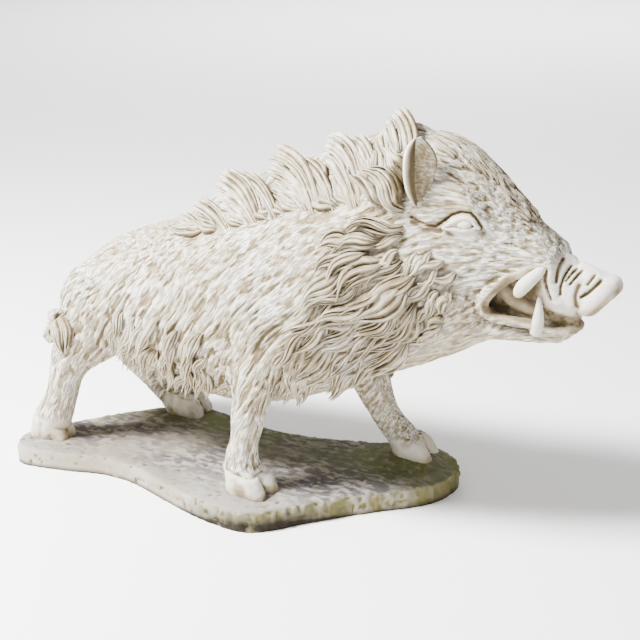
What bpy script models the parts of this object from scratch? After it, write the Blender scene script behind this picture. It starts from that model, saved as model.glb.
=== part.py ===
"""A walking wild boar in cast stone, made in one casting with the rough slab that it stands on.

The boar faces +X and its right flank faces -Y. The origin is the middle of the slab's underside.
The figure is worked out in modelling units: one unit is BOAR_LENGTH / 122, or 10 mm at full size.
Heights in the tables of the figure are counted from the top of the slab.
"""

import math

import bmesh
import bpy
import numpy as np
from mathutils import Vector
from mathutils.bvhtree import BVHTree

# Driving sizes, in metres
BOAR_LENGTH = 1.22  # tail to tip of the snout
SLAB_THICKNESS = 0.045
SLAB_MARGIN = 0.020  # how far the slab runs out past the line drawn round the feet
EDGE_ROUNDING = 0.012  # worn top edge of the slab
HOOF_SINK = 0.015  # how deep the feet run into the slab

# How finely the casting is built, in metres and in triangles
FORM_GRAIN = 0.0075
CASTING_GRAIN = 0.0052
CASTING_TRIANGLES = 9600

UNIT = BOAR_LENGTH / 122.0
STONE = (0.68, 0.65, 0.57, 1.0)
SEED = 7

# The head has its own axes: u runs down the face to the snout, v stands square to it.
HEAD_ORIGIN = (42.0, 55.5)
HEAD_DROP = math.radians(35.0)


def clear_scene():
    for obj in list(bpy.data.objects):
        bpy.data.objects.remove(obj)


def body_point(x, y, z):
    """A place on the figure, in units, as metres in the part's frame."""
    return Vector((x * UNIT, y * UNIT, z * UNIT + SLAB_THICKNESS))


def head_point(u, y, v):
    x = HEAD_ORIGIN[0] + u * math.cos(HEAD_DROP) + v * math.sin(HEAD_DROP)
    z = HEAD_ORIGIN[1] - u * math.sin(HEAD_DROP) + v * math.cos(HEAD_DROP)
    return body_point(x, y, z)


def mesh_object(name, points, faces):
    mesh = bpy.data.meshes.new(name)
    mesh.from_pydata([tuple(p) for p in points], [], faces)
    form = bmesh.new()
    form.from_mesh(mesh)
    bmesh.ops.recalc_face_normals(form, faces=form.faces)
    form.to_mesh(mesh)
    form.free()
    obj = bpy.data.objects.new(name, mesh)
    bpy.context.scene.collection.objects.link(obj)
    return obj


def loft(name, rings):
    """A closed skin over rings of equal count, capped at both ends."""
    count = len(rings[0])
    points = [p for ring in rings for p in ring]
    faces = []
    for row in range(len(rings) - 1):
        for i in range(count):
            j = (i + 1) % count
            faces.append((row * count + i, row * count + j, (row + 1) * count + j, (row + 1) * count + i))
    faces.append(tuple(range(count)))
    faces.append(tuple(range((len(rings) - 1) * count, len(rings) * count)))
    return mesh_object(name, points, faces)


def smooth_rows(rows, steps):
    """Rows of numbers read off a smooth curve through the given rows."""
    rows = np.array(rows, float)
    out = []
    for i in range(len(rows) - 1):
        before = rows[max(i - 1, 0)]
        after = rows[min(i + 2, len(rows) - 1)]
        a, b = rows[i], rows[i + 1]
        for k in range(steps):
            t = k / steps
            out.append(0.5 * (2 * a + (b - before) * t + (2 * before - 5 * a + 4 * b - after) * t ** 2
                              + (3 * a - before - 3 * b + after) * t ** 3))
    out.append(rows[-1])
    return out


def oval_ring(top, bottom, half_width, squareness, count=28):
    """Points (y, z) of a section; squareness is 2 for an ellipse and more for a box."""
    middle, half = (top + bottom) / 2, (top - bottom) / 2
    ring = []
    for i in range(count):
        a = 2 * math.pi * i / count
        c, s = math.cos(a), math.sin(a)
        ring.append((half_width * math.copysign(abs(c) ** (2 / squareness), c),
                     middle + half * math.copysign(abs(s) ** (2 / squareness), s)))
    return ring


def station_loft(name, stations, place, steps=3):
    """Stations are (distance along, top, bottom, half width, squareness)."""
    rings = []
    for along, top, bottom, half_width, squareness in smooth_rows(stations, steps):
        half_width = max(half_width, 0.2)
        rings.append([place(along, y, z) for y, z in oval_ring(top, bottom, half_width, squareness)])
    return loft(name, rings)


def limb(name, rows, place=body_point, steps=4, count=16):
    """Rows are (x, y, z, radius along the body, radius across) down a leg, tail, lip or tusk."""
    rows = smooth_rows(rows, steps)
    rings = []
    for i, (x, y, z, along, across) in enumerate(rows):
        ahead = rows[min(i + 1, len(rows) - 1)]
        behind = rows[max(i - 1, 0)]
        way = Vector((ahead[0] - behind[0], ahead[1] - behind[1], ahead[2] - behind[2])).normalized()
        side = Vector((0, 1, 0)) - way * way.y
        side.normalize()
        front = side.cross(way)
        ring = []
        for k in range(count):
            a = 2 * math.pi * k / count
            spot = Vector((x, y, z)) + front * along * math.cos(a) + side * across * math.sin(a)
            ring.append(place(*spot))
        rings.append(ring)
    return loft(name, rings)


def ball(name, centre, radii, turn=0.0, tilt=0.0):
    """An egg at a place in metres, with radii in units, turned about Y by turn and about Z by tilt."""
    bpy.ops.mesh.primitive_uv_sphere_add(segments=24, ring_count=14, location=centre)
    obj = bpy.context.object
    obj.name = name
    obj.scale = [r * UNIT for r in radii]
    obj.rotation_euler = (0, turn, tilt)
    bpy.ops.object.transform_apply(location=True, rotation=True, scale=True)
    return obj


def fuse(name, pieces, grain, softening):
    """Joins overlapping closed pieces into one skin of even grain, softened at the joins."""
    bpy.ops.object.select_all(action="DESELECT")
    for piece in pieces:
        piece.select_set(True)
    bpy.context.view_layer.objects.active = pieces[0]
    bpy.ops.object.join()
    obj = bpy.context.view_layer.objects.active
    obj.name = name
    remesh = obj.modifiers.new("one skin", "REMESH")
    remesh.mode = "VOXEL"
    remesh.voxel_size = grain
    smooth = obj.modifiers.new("soft joins", "SMOOTH")
    smooth.factor = 0.5
    smooth.iterations = softening
    bake_modifiers(obj)
    return obj


def bake_modifiers(obj):
    graph = bpy.context.evaluated_depsgraph_get()
    mesh = bpy.data.meshes.new_from_object(obj.evaluated_get(graph))
    old = obj.data
    obj.modifiers.clear()
    obj.data = mesh
    bpy.data.meshes.remove(old)


# Torso and neck: x, top, bottom, half width, squareness
TORSO = [
    (-37.6, 31.0, 23.6, 2.6, 2.0), (-36.6, 33.8, 21.0, 6.0, 2.0), (-34.0, 37.8, 20.2, 9.4, 2.0),
    (-28.0, 42.6, 20.6, 12.4, 2.1), (-20.0, 46.2, 18.4, 14.0, 2.2), (-11.0, 49.0, 15.2, 15.0, 2.2),
    (-2.0, 51.0, 13.8, 15.6, 2.2), (7.0, 54.0, 13.8, 16.0, 2.2), (16.0, 57.4, 15.8, 15.8, 2.2),
    (25.0, 60.4, 19.4, 15.0, 2.1), (33.0, 62.5, 23.4, 13.8, 2.1), (41.0, 63.0, 26.8, 12.0, 2.0),
    (48.0, 59.0, 30.4, 10.0, 2.0), (55.0, 50.0, 34.6, 7.0, 2.0),
]

# Skull and muzzle in head axes: u, top, bottom, half width, squareness
SKULL = [
    (-13.0, 9.0, -8.0, 6.0, 2.0), (-9.0, 13.2, -11.0, 9.2, 2.1), (-3.0, 15.8, -13.0, 10.2, 2.1),
    (3.0, 15.9, -13.0, 10.2, 2.1), (9.0, 15.2, -11.5, 9.4, 2.1), (14.0, 14.4, -9.0, 8.3, 2.1),
    (17.0, 13.9, -4.0, 7.4, 2.2), (18.6, 13.7, 4.4, 7.0, 2.2), (20.5, 13.4, 7.6, 6.4, 2.3),
    (22.6, 13.0, 6.2, 6.0, 2.4), (24.6, 12.7, 4.0, 5.6, 2.4), (28.2, 13.1, 4.2, 5.0, 2.4),
    (30.6, 14.4, 5.4, 4.6, 2.4),
]

# Lower jaw in head axes
JAW = [
    (2.0, -3.0, -15.0, 7.0, 2.0), (9.0, -3.0, -17.5, 8.0, 2.1), (14.5, -2.0, -16.8, 7.4, 2.1),
    (18.2, -2.6, -14.4, 6.6, 2.2), (22.4, -2.2, -8.9, 5.6, 2.2), (26.8, -0.4, -4.8, 5.0, 2.2),
    (30.6, 2.2, -1.8, 4.4, 2.2), (32.6, 3.8, 0.2, 3.4, 2.2), (33.2, 4.4, 2.2, 2.2, 2.2),
]

# Tongue and gums, which close the open mouth in the middle
MOUTH_CORE = [
    (14.0, 3.0, -4.0, 4.6, 2.2), (20.0, 9.0, -4.0, 3.6, 2.4), (25.0, 7.0, -2.6, 3.0, 2.4),
    (29.0, 7.0, -0.4, 3.0, 2.2), (32.2, 6.4, 1.6, 2.2, 2.0),
]

# Legs: x, y, z, radius along the body, radius across
LEGS = {
    "fore right": [
        (14.0, -8.5, 36.0, 8.0, 5.0), (13.8, -10.8, 29.0, 6.4, 5.0), (12.6, -12.0, 23.0, 4.9, 4.3),
        (11.7, -12.8, 16.0, 3.6, 3.6), (11.0, -13.2, 11.0, 3.0, 3.1), (10.3, -13.4, 7.2, 3.3, 3.5),
        (10.6, -13.5, 4.0, 3.7, 3.9), (11.0, -13.5, 1.0, 4.0, 4.0),
    ],
    "fore left": [
        (18.4, 7.5, 34.0, 9.0, 5.0), (22.2, 10.0, 25.0, 6.8, 4.8), (25.6, 12.0, 17.5, 4.5, 4.2),
        (27.6, 13.4, 11.0, 3.2, 3.5), (30.0, 14.2, 6.8, 3.0, 3.2), (32.2, 14.6, 4.2, 3.3, 3.5),
        (34.0, 14.7, 1.2, 3.9, 3.9),
    ],
    "hind right": [
        (-25.4, -6.0, 29.4, 9.4, 6.0), (-28.6, -8.6, 24.8, 7.6, 5.6), (-32.2, -10.2, 20.0, 5.6, 4.6),
        (-34.4, -11.0, 14.8, 3.7, 3.8), (-35.6, -11.2, 10.4, 3.4, 3.5), (-37.6, -11.3, 6.0, 3.9, 3.7),
        (-39.2, -11.3, 2.8, 4.3, 4.0), (-39.8, -11.3, 0.0, 4.5, 4.2),
    ],
    "hind left": [
        (-26.5, 6.0, 30.0, 9.0, 6.0), (-31.0, 8.6, 24.8, 6.8, 5.4), (-35.0, 10.4, 18.4, 5.0, 4.4),
        (-34.6, 11.4, 13.0, 3.8, 3.8), (-31.0, 12.0, 8.8, 3.1, 3.3), (-26.8, 12.3, 5.4, 3.1, 3.3),
        (-23.2, 12.5, 2.6, 3.3, 3.6), (-21.8, 12.5, 0.6, 3.6, 3.8),
    ],
}

# Middle of each hoof: x, y and the way that it points, as x and y
HOOVES = {
    "fore right": (13.0, -13.6, 1.0, -0.10),
    "fore left": (35.6, 14.8, 1.0, 0.05),
    "hind right": (-38.2, -11.4, 1.0, -0.08),
    "hind left": (-19.0, 12.6, 1.0, 0.05),
}

# The tail curls round to the right haunch, and its end hangs behind
TAIL = {
    "tail": [
        (-34.5, -0.5, 24.2, 2.0, 2.0), (-38.0, -2.6, 24.6, 1.9, 1.9), (-39.2, -5.6, 25.0, 1.8, 1.8),
        (-38.2, -8.6, 26.0, 1.8, 1.8), (-36.2, -11.0, 27.4, 1.8, 1.7), (-34.4, -12.4, 27.6, 1.6, 1.4),
    ],
    "tail end": [
        (-40.0, -6.4, 24.8, 1.1, 1.0), (-40.9, -7.2, 22.8, 1.4, 1.3), (-41.2, -7.6, 20.8, 1.8, 1.6),
        (-41.0, -7.7, 19.2, 0.9, 0.9),
    ],
}

# The tail's tuft lies on the haunch: where it starts, which way it runs and its sizes
TAIL_TUFT = {"root": (-34.2, -12.2, 28.6), "way": (0.3, -0.1, -0.95), "length": 9.5, "half_width": 3.3,
             "height": 2.2, "steps": 8}

# Profile of one claw: distance from the middle of the foot, height, half width
CLAW = [(-4.2, 2.0, 1.2), (-2.6, 4.4, 1.9), (-0.4, 5.3, 2.15), (1.8, 4.0, 2.0), (3.2, 2.0, 1.5),
        (3.9, 0.7, 0.8)]
CLAW_OUT = 2.05  # from the middle of the foot to the middle of a claw
DEW_CLAW = {"behind": 5.0, "out": 1.9, "height": 4.6, "radii": (1.0, 0.9, 1.4)}

# Rounded masses of the right side, each with its mirror image: middle, radii and turn about Y
BODY_MASSES = {
    "shoulder": ((12.0, 8.5, 36.0), (9.5, 8.0, 13.0), 0.25),
    "haunch": ((-26.5, 6.6, 29.6), (10.5, 8.0, 10.4), 0.35),
}
HEAD_MASSES = {
    "cheek": ((7.0, 5.2, -5.5), (8.0, 5.2, 7.0), 0.6),
    "brow": ((4.6, 6.4, 10.2), (6.0, 2.6, 2.6), 0.75),
}


def hoof(name, x, y, way_x, way_y):
    """Two claws side by side, and on the fore foot that bears the weight two small dew claws behind."""
    way = Vector((way_x, way_y, 0)).normalized()
    side = Vector((-way.y, way.x, 0))
    sink = HOOF_SINK / UNIT
    pieces = []
    for hand in (-1, 1):
        rings = []
        for along, height, half in CLAW:
            centre = Vector((x, y, (height - sink) / 2)) + way * along + side * hand * CLAW_OUT
            tall = (height + sink) / 2
            turns = [2 * math.pi * k / 16 for k in range(16)]
            spots = [centre + side * half * math.cos(a) + Vector((0, 0, tall * math.sin(a))) for a in turns]
            rings.append([body_point(*spot) for spot in spots])
        pieces.append(loft(name, rings))
        if name == "fore right":
            dew = Vector((x, y, 0)) - way * DEW_CLAW["behind"] + side * hand * DEW_CLAW["out"]
            pieces.append(ball(name, body_point(dew.x, dew.y, DEW_CLAW["height"]), DEW_CLAW["radii"]))
    return pieces


def tail_pieces(tree):
    """The tail, its hanging end, and the tuft that lies on the haunch."""
    pieces = [limb(name, rows, count=12) for name, rows in TAIL.items()]
    way = Vector(TAIL_TUFT["way"])
    line = surface_path(tree, body_point(*TAIL_TUFT["root"]), lambda point, share: way,
                        TAIL_TUFT["length"] * UNIT, TAIL_TUFT["steps"])
    pieces.append(lock("tail tuft", line, TAIL_TUFT["half_width"] * UNIT, TAIL_TUFT["height"] * UNIT))
    return pieces


def leg(name, rows):
    """A leg down to its foot, which runs on straight down into the slab."""
    x, y, z, along, across = rows[-1]
    return limb(name, rows + [(x, y, -HOOF_SINK / UNIT, along, across)])


def form_pieces():
    """The big masses of the animal before any hair."""
    pieces = [station_loft("torso", TORSO, body_point), station_loft("skull", SKULL, head_point),
              station_loft("jaw", JAW, head_point), station_loft("mouth core", MOUTH_CORE, head_point)]
    for name, rows in LEGS.items():
        pieces.append(leg(name, rows))
    for place, masses in ((body_point, BODY_MASSES), (head_point, HEAD_MASSES)):
        for name, ((along, out, up), radii, turn) in masses.items():
            for hand in (-1, 1):
                pieces.append(ball(name, place(along, hand * out, up), radii, turn))
    return pieces


def surface_of(obj):
    form = bmesh.new()
    form.from_mesh(obj.data)
    tree = BVHTree.FromBMesh(form)
    form.free()
    return tree


def surface_path(tree, start, way, length, steps, lift=0.0, wave=0.0, phase=0.0):
    """A line that leaves start and stays on the skin, following way(point, share), a direction in metres."""
    point, normal, _, _ = tree.find_nearest(start)
    line = []
    stride = length / steps
    for i in range(steps + 1):
        share = i / steps
        side = normal.cross(way(point, share)).normalized()
        line.append((point + normal * lift * share ** 2, normal))
        ahead = way(point, share) + side * wave * math.sin(phase + share * 2 * math.pi)
        ahead -= normal * ahead.dot(normal)
        point, normal, _, _ = tree.find_nearest(point + ahead.normalized() * stride)
    return line


def lock(name, line, width, height, sink=0.35, blunt=0.06, ridges=3, count=18):
    """A ridged lock of hair along a line of (point, normal), broad in the middle and narrower at its ends."""
    rings = []
    for i, (point, normal) in enumerate(line):
        share = i / (len(line) - 1)
        swell = max(math.sin(math.pi * min(1.0, 0.18 + 0.82 * share ** 0.8)) ** 0.7, 0.06)
        if share > 0.4:
            swell = max(swell, blunt)
        ahead = line[min(i + 1, len(line) - 1)][0] - line[max(i - 1, 0)][0]
        across = normal.cross(ahead).normalized()
        out = ahead.cross(across).normalized()
        ring = []
        for k in range(count):
            a = 2 * math.pi * k / count
            groove = 1.0 - 0.16 * max(0.0, math.sin(a)) * (1 - math.cos(2 * ridges * a))
            ring.append(point + across * width * swell * math.cos(a)
                        + out * height * swell * (groove * math.sin(a) - sink))
        rings.append(ring)
    return loft(name, rings)


FLANK_OUT = 16.0  # how far out the roots of the locks start before they are set on the skin

# How the neck hair falls: height of the steepest locks, how far from it they lie flat, slopes in degrees
MANE_FALL = {"height": 40.0, "reach": 26.0, "flat_slope": 8.0, "steeper_by": 40.0, "tips_steeper_by": 14.0}


def mane_way(point, share):
    """Hair of the neck runs back and down, flatter near the spine and near the throat."""
    height = (point.z - SLAB_THICKNESS) / UNIT
    middle = max(0.0, 1.0 - abs(height - MANE_FALL["height"]) / MANE_FALL["reach"])
    slope = math.radians(MANE_FALL["flat_slope"] + MANE_FALL["steeper_by"] * middle
                         + MANE_FALL["tips_steeper_by"] * share)
    return Vector((-math.cos(slope), 0.0, -math.sin(slope)))


# Rows of neck locks from the shoulder to the cheek: x of the roots, lowest and highest root, length
NECK_ROWS = [(28.0, 22.0, 63.0, 17.0), (35.0, 22.0, 64.0, 16.0), (42.0, 25.0, 60.0, 15.0),
             (49.0, 29.0, 57.0, 12.0)]
NECK_COUNTS = [8, 8, 7, 6]
NECK_LOCK = {"half_width": 2.2, "height": 2.0, "lift": 1.6, "wave": 0.45}


def neck_locks(tree):
    """Rows of long locks on both sides of the neck, laid from the shoulder forward like tiles."""
    luck = np.random.default_rng(SEED)
    pieces = []
    for (x, low, high, length), count in zip(NECK_ROWS, NECK_COUNTS):
        for rank in range(count):
            z = low + (high - low) * (rank + 0.5) / count
            for hand in (-1, 1):
                start = body_point(x + luck.uniform(-1.8, 1.8), hand * FLANK_OUT, z + luck.uniform(-0.8, 0.8))
                line = surface_path(tree, start, mane_way, length * luck.uniform(0.85, 1.15) * UNIT, 10,
                                    NECK_LOCK["lift"] * UNIT, NECK_LOCK["wave"], luck.uniform(0, 2 * math.pi))
                pieces.append(lock("neck lock", line, NECK_LOCK["half_width"] * UNIT,
                                   NECK_LOCK["height"] * UNIT))
    return pieces


# Top edge of the crest's core along the spine: x, height, half thickness there
CREST_CORE = [
    (-15.0, 47.0, 1.0), (-6.0, 52.6, 2.0), (0.0, 57.6, 2.4), (8.0, 60.8, 2.6), (16.0, 64.0, 2.8),
    (24.0, 67.4, 3.0), (32.0, 70.2, 3.0), (37.0, 72.6, 3.0), (42.0, 70.8, 3.0), (47.0, 67.0, 3.0),
]
CREST_DEPTH = 14.0
CREST_SPREAD = 1.8  # how much thicker the core is at its foot, as a share of its thickness at the top
CREST_SQUARENESS = 1.6

# Layers of tufts: how far the tips drop, how far out they are, half width of a tuft
CREST_LAYERS = [(0.0, 1.4, 2.5), (3.6, 4.2, 2.2), (7.4, 6.6, 2.0)]
LAYER_SHIFT = 3.0  # how much further forward each lower layer starts
TUFT_ROOT_OUT = 9.5
TUFT_THICKNESS = 1.5

# Tufts of the crest, back to front: where the blunt tip is and where the root is, each as x and height
CREST_TUFTS = [
    ((-11.0, 50.2), (1.5, 48.0)), ((-1.6, 57.8), (12.5, 51.5)), ((3.6, 60.2), (18.5, 54.0)),
    ((10.4, 63.0), (23.0, 55.5)), ((16.0, 64.8), (27.5, 56.5)), ((22.2, 67.0), (31.5, 57.5)),
    ((28.4, 69.6), (35.5, 58.5)), ((34.6, 72.4), (40.0, 60.0)), ((40.6, 71.2), (44.0, 61.0)),
]


def crest_core():
    """The solid core of the crest, which the tufts lie on."""
    rings = []
    for x, top, half in smooth_rows(CREST_CORE, 3):
        rings.append([body_point(x, y * (1 + CREST_SPREAD * (top - z) / CREST_DEPTH), z)
                      for y, z in oval_ring(top, top - CREST_DEPTH, half, CREST_SQUARENESS, 16)])
    return loft("crest core", rings)


def tuft_line(tip, root, tip_out, root_out, steps=10):
    """A curve that leaves the side of the neck upward and ends level, pointing back."""
    bend = ((tip[0] * 0.35 + root[0] * 0.65), tip[1] + 0.22 * (tip[1] - root[1]))
    line = []
    for i in range(steps + 1):
        t = i / steps
        x, z = ((1 - t) ** 2 * root[k] + 2 * t * (1 - t) * bend[k] + t ** 2 * tip[k] for k in (0, 1))
        out = root_out + (tip_out - root_out) * t ** 0.8
        line.append((body_point(x, out, z), Vector((0.0, math.copysign(1.0, out), 0.25)).normalized()))
    return line


def crest_tufts():
    """Three layers of blunt tufts on each side, the lower layers set further out and further down."""
    pieces = [crest_core()]
    for layer, (drop, tip_out, width) in enumerate(CREST_LAYERS):
        for tip, root in CREST_TUFTS:
            shift = LAYER_SHIFT * layer
            low_tip = (tip[0] + shift, tip[1] - drop)
            low_root = (root[0] + 0.6 * shift, root[1] - 0.4 * drop)
            for hand in (-1, 1):
                line = tuft_line(low_tip, low_root, hand * tip_out, hand * TUFT_ROOT_OUT)
                pieces.append(lock("crest tuft", line, width * UNIT, TUFT_THICKNESS * UNIT, sink=0.2,
                                   blunt=0.8))
    return pieces


# Rows of hanging locks: x and height of the first root, step to the next, length
FRINGE_ROWS = [((-17.0, 24.5), (3.1, 0.0), 8.5), ((-15.0, 29.0), (3.6, 0.3), 8.0),
               ((20.0, 23.5), (3.4, 1.3), 7.5)]
FRINGE_COUNTS = [8, 6, 6]
FRINGE_LOCK = {"half_width": 1.6, "height": 1.5, "lift": 1.2, "back": 0.45, "tip_back": 0.3}


def fringe_way(point, share):
    return Vector((-FRINGE_LOCK["back"] - FRINGE_LOCK["tip_back"] * share, 0.0, -1.0))


def belly_fringe(tree):
    """Short hanging locks along both sides of the belly, from the flank to the breast."""
    luck = np.random.default_rng(SEED + 1)
    pieces = []
    for ((first_x, first_z), (step_x, step_z), length), count in zip(FRINGE_ROWS, FRINGE_COUNTS):
        for rank in range(count):
            for hand in (-1, 1):
                start = body_point(first_x + step_x * rank + luck.uniform(-0.8, 0.8), hand * FLANK_OUT,
                                   first_z + step_z * rank + luck.uniform(-1.0, 1.5))
                line = surface_path(tree, start, fringe_way, length * luck.uniform(0.85, 1.2) * UNIT, 7,
                                    FRINGE_LOCK["lift"] * UNIT)
                pieces.append(lock("fringe lock", line, FRINGE_LOCK["half_width"] * UNIT,
                                   FRINGE_LOCK["height"] * UNIT))
    return pieces


# The ear: height above the slab, x of its middle, half breadth, half thickness
EAR = [
    (58.0, 44.6, 1.5, 1.0), (61.0, 44.9, 1.9, 1.0), (64.0, 45.2, 2.2, 0.9), (67.0, 45.4, 2.5, 0.8),
    (69.6, 44.9, 2.1, 0.7), (71.6, 43.9, 0.5, 0.4),
]
EAR_OUT = 8.6  # from the middle of the head to the ear's front edge
EAR_OPENING = 0.5  # how far its rear edge stands out, as a share of its breadth
LEFT_EAR_LAID = (-2.0, -4.0)  # how much further back and down the left ear lies


def ear(hand):
    """A leaf set upright on the side of the head, its rear edge standing out."""
    back, down = LEFT_EAR_LAID if hand > 0 else (0.0, 0.0)
    rings = []
    for z, x, half, thick in smooth_rows(EAR, 2):
        ring = []
        for k in range(16):
            a = 2 * math.pi * k / 16
            out = EAR_OUT + thick * math.sin(a) + EAR_OPENING * half * (1 - math.cos(a))
            ring.append(body_point(x + back + half * math.cos(a), hand * out, z + down))
        rings.append(ring)
    return loft("ear", rings)


# Lips and tusks of the right side in head axes: u, distance out, v, and the two radii
LIP = [
    (21.6, -5.6, 9.8, 0.7, 0.7), (20.1, -6.1, 8.5, 0.95, 0.9), (18.5, -6.6, 5.2, 1.0, 1.0),
    (17.6, -6.9, 1.2, 1.05, 1.1), (18.0, -6.7, -1.9, 1.05, 1.1), (20.0, -6.1, -2.9, 1.0, 1.0),
    (23.4, -5.4, -1.5, 0.95, 0.95), (26.4, -5.0, 0.5, 0.9, 0.9), (30.0, -4.3, 1.9, 0.8, 0.8),
    (32.4, -2.3, 3.8, 0.7, 0.7), (33.1, 0.0, 4.4, 0.6, 0.6),
]
UPPER_TUSK = [
    (22.0, -5.4, 10.6, 0.45, 0.45), (21.9, -5.9, 9.6, 0.95, 0.85), (21.6, -6.5, 7.6, 1.25, 1.05),
    (21.5, -6.6, 5.6, 1.2, 1.05), (21.6, -6.5, 4.2, 0.9, 0.85), (21.7, -6.3, 3.5, 0.3, 0.3),
]
LOWER_TUSK = [
    (28.2, -4.3, -0.2, 1.15, 1.0), (27.5, -5.0, 1.6, 1.1, 0.95), (26.5, -5.4, 3.3, 0.85, 0.8),
    (25.5, -5.6, 4.8, 0.55, 0.55), (24.6, -5.7, 5.9, 0.2, 0.2),
]

# The snout's disc: distance along the head and size of each ring, and how far the disc leans
SNOUT_RINGS = [(28.4, 0.86), (30.4, 0.97), (32.0, 1.07), (33.3, 1.06), (33.9, 0.88)]
SNOUT_LEAN = -0.03
SNOUT_TOP = 15.1
SNOUT_BOTTOM = 6.7
SNOUT_HALF_WIDTH = 4.3
SNOUT_SQUARENESS = 2.2

# The eyeball in head axes
EYE_PLACE = (7.2, 8.9, 8.1)
EYE_RADII = (1.7, 0.9, 1.1)
EYE_TURN = 0.11


def mirrored(rows, hand):
    """Rows drawn for the right side, on the side asked for."""
    return [(u, -hand * out, v, along, across) for u, out, v, along, across in rows]


def face_pieces():
    """What is raised on the face: snout disc, eyes, ears, lips and tusks."""
    middle = (SNOUT_TOP + SNOUT_BOTTOM) / 2
    rings = []
    for u, size in SNOUT_RINGS:
        rings.append([head_point(u + SNOUT_LEAN * (v - middle) * size, y * size, middle + (v - middle) * size)
                      for y, v in oval_ring(SNOUT_TOP, SNOUT_BOTTOM, SNOUT_HALF_WIDTH, SNOUT_SQUARENESS)])
    pieces = [loft("snout disc", rings)]
    for hand in (-1, 1):
        u, out, v = EYE_PLACE
        pieces.append(ball("eye", head_point(u, hand * out, v), EYE_RADII, EYE_TURN))
        pieces.append(ear(hand))
        for name, rows in (("lip", LIP), ("upper tusk", UPPER_TUSK), ("lower tusk", LOWER_TUSK)):
            pieces.append(limb(name, mirrored(rows, hand), place=head_point, steps=3, count=10))
    return pieces


# The line round the feet that the slab's edge follows, seen from above, in units
SLAB_OUTLINE = [
    (-42.9, -14.7), (-39.5, -18.5), (-29.6, -16.8), (-20.7, -14.2), (-13.0, -14.3), (-3.9, -16.9),
    (5.2, -19.7), (13.6, -20.6), (17.8, -18.4), (22.9, -12.4), (30.7, -4.5), (39.7, 3.5), (42.7, 9.3),
    (42.8, 15.0), (38.9, 19.3), (32.0, 21.1), (24.1, 17.0), (16.2, 14.4), (4.0, 11.3), (-7.3, 13.4),
    (-15.8, 14.4), (-23.5, 11.8), (-32.3, 3.0), (-38.3, -5.0), (-42.4, -10.8),
]


def slab_outline(steps=3):
    closed = SLAB_OUTLINE + SLAB_OUTLINE[:3]
    rows = smooth_rows(closed, steps)
    return rows[steps:steps * (len(SLAB_OUTLINE) + 1)]


# The low mound that the fore left foot is set in: middle, radii and turn about Z
MOUND = ((34.5, 14.0, -0.6), (8.2, 6.6, 2.2), 0.4)


def slab():
    """The rough slab, with a worn top edge and a flat underside."""
    rings = []
    levels = ((-CASTING_GRAIN, 0.0), (SLAB_THICKNESS - EDGE_ROUNDING, 0.0),
              (SLAB_THICKNESS - EDGE_ROUNDING * 0.3, -EDGE_ROUNDING * 0.3), (SLAB_THICKNESS, -EDGE_ROUNDING))
    for z, grow in levels:
        ring = []
        for x, y in slab_outline():
            line_point = Vector((x, y, 0))
            spot = line_point * UNIT + line_point.normalized() * (SLAB_MARGIN + grow)
            ring.append((spot.x, spot.y, z))
        rings.append(ring)
    middle, radii, tilt = MOUND
    return [loft("slab", rings), ball("mound", body_point(*middle), radii, tilt=tilt)]


def flat_underside(obj):
    """Cuts everything under the ground away and closes the cut with a flat face."""
    form = bmesh.new()
    form.from_mesh(obj.data)
    bmesh.ops.bisect_plane(form, geom=form.verts[:] + form.edges[:] + form.faces[:], plane_co=(0, 0, 0),
                           plane_no=(0, 0, 1), clear_inner=True)
    rim = [edge for edge in form.edges if edge.is_boundary]
    bmesh.ops.contextual_create(form, geom=rim)
    bmesh.ops.triangulate(form, faces=form.faces[:])
    bmesh.ops.recalc_face_normals(form, faces=form.faces)
    form.to_mesh(obj.data)
    form.free()


def thin_out(obj, triangles):
    """Fewer triangles, kept where the form turns."""
    decimate = obj.modifiers.new("fewer faces", "DECIMATE")
    faces = sum(len(p.vertices) - 2 for p in obj.data.polygons)
    decimate.ratio = min(1.0, triangles / faces)
    decimate.use_collapse_triangulate = True
    bake_modifiers(obj)


def stone_material():
    material = bpy.data.materials.new("weathered cast stone")
    material.use_nodes = True
    shader = material.node_tree.nodes["Principled BSDF"]
    shader.inputs["Base Color"].default_value = STONE
    shader.inputs["Roughness"].default_value = 0.9
    shader.inputs["Metallic"].default_value = 0.0
    return material


def main():
    clear_scene()
    form = fuse("form", form_pieces(), FORM_GRAIN, softening=6)
    tree = surface_of(form)
    pieces = [form] + face_pieces() + tail_pieces(tree)
    for name, (x, y, way_x, way_y) in HOOVES.items():
        pieces += hoof(name, x, y, way_x, way_y)
    pieces += neck_locks(tree) + crest_tufts() + belly_fringe(tree) + slab()
    casting = fuse("boar_and_base", pieces, CASTING_GRAIN, softening=1)
    thin_out(casting, CASTING_TRIANGLES)
    flat_underside(casting)
    casting.data.materials.clear()
    casting.data.materials.append(stone_material())
    home = bpy.data.collections.new("wild boar garden sculpture")
    bpy.context.scene.collection.children.link(home)
    bpy.context.scene.collection.objects.unlink(casting)
    home.objects.link(casting)


main()
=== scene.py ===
import math

import bmesh
import bpy
import numpy as np
from mathutils import Matrix, Vector
from mathutils.bvhtree import BVHTree


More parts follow.
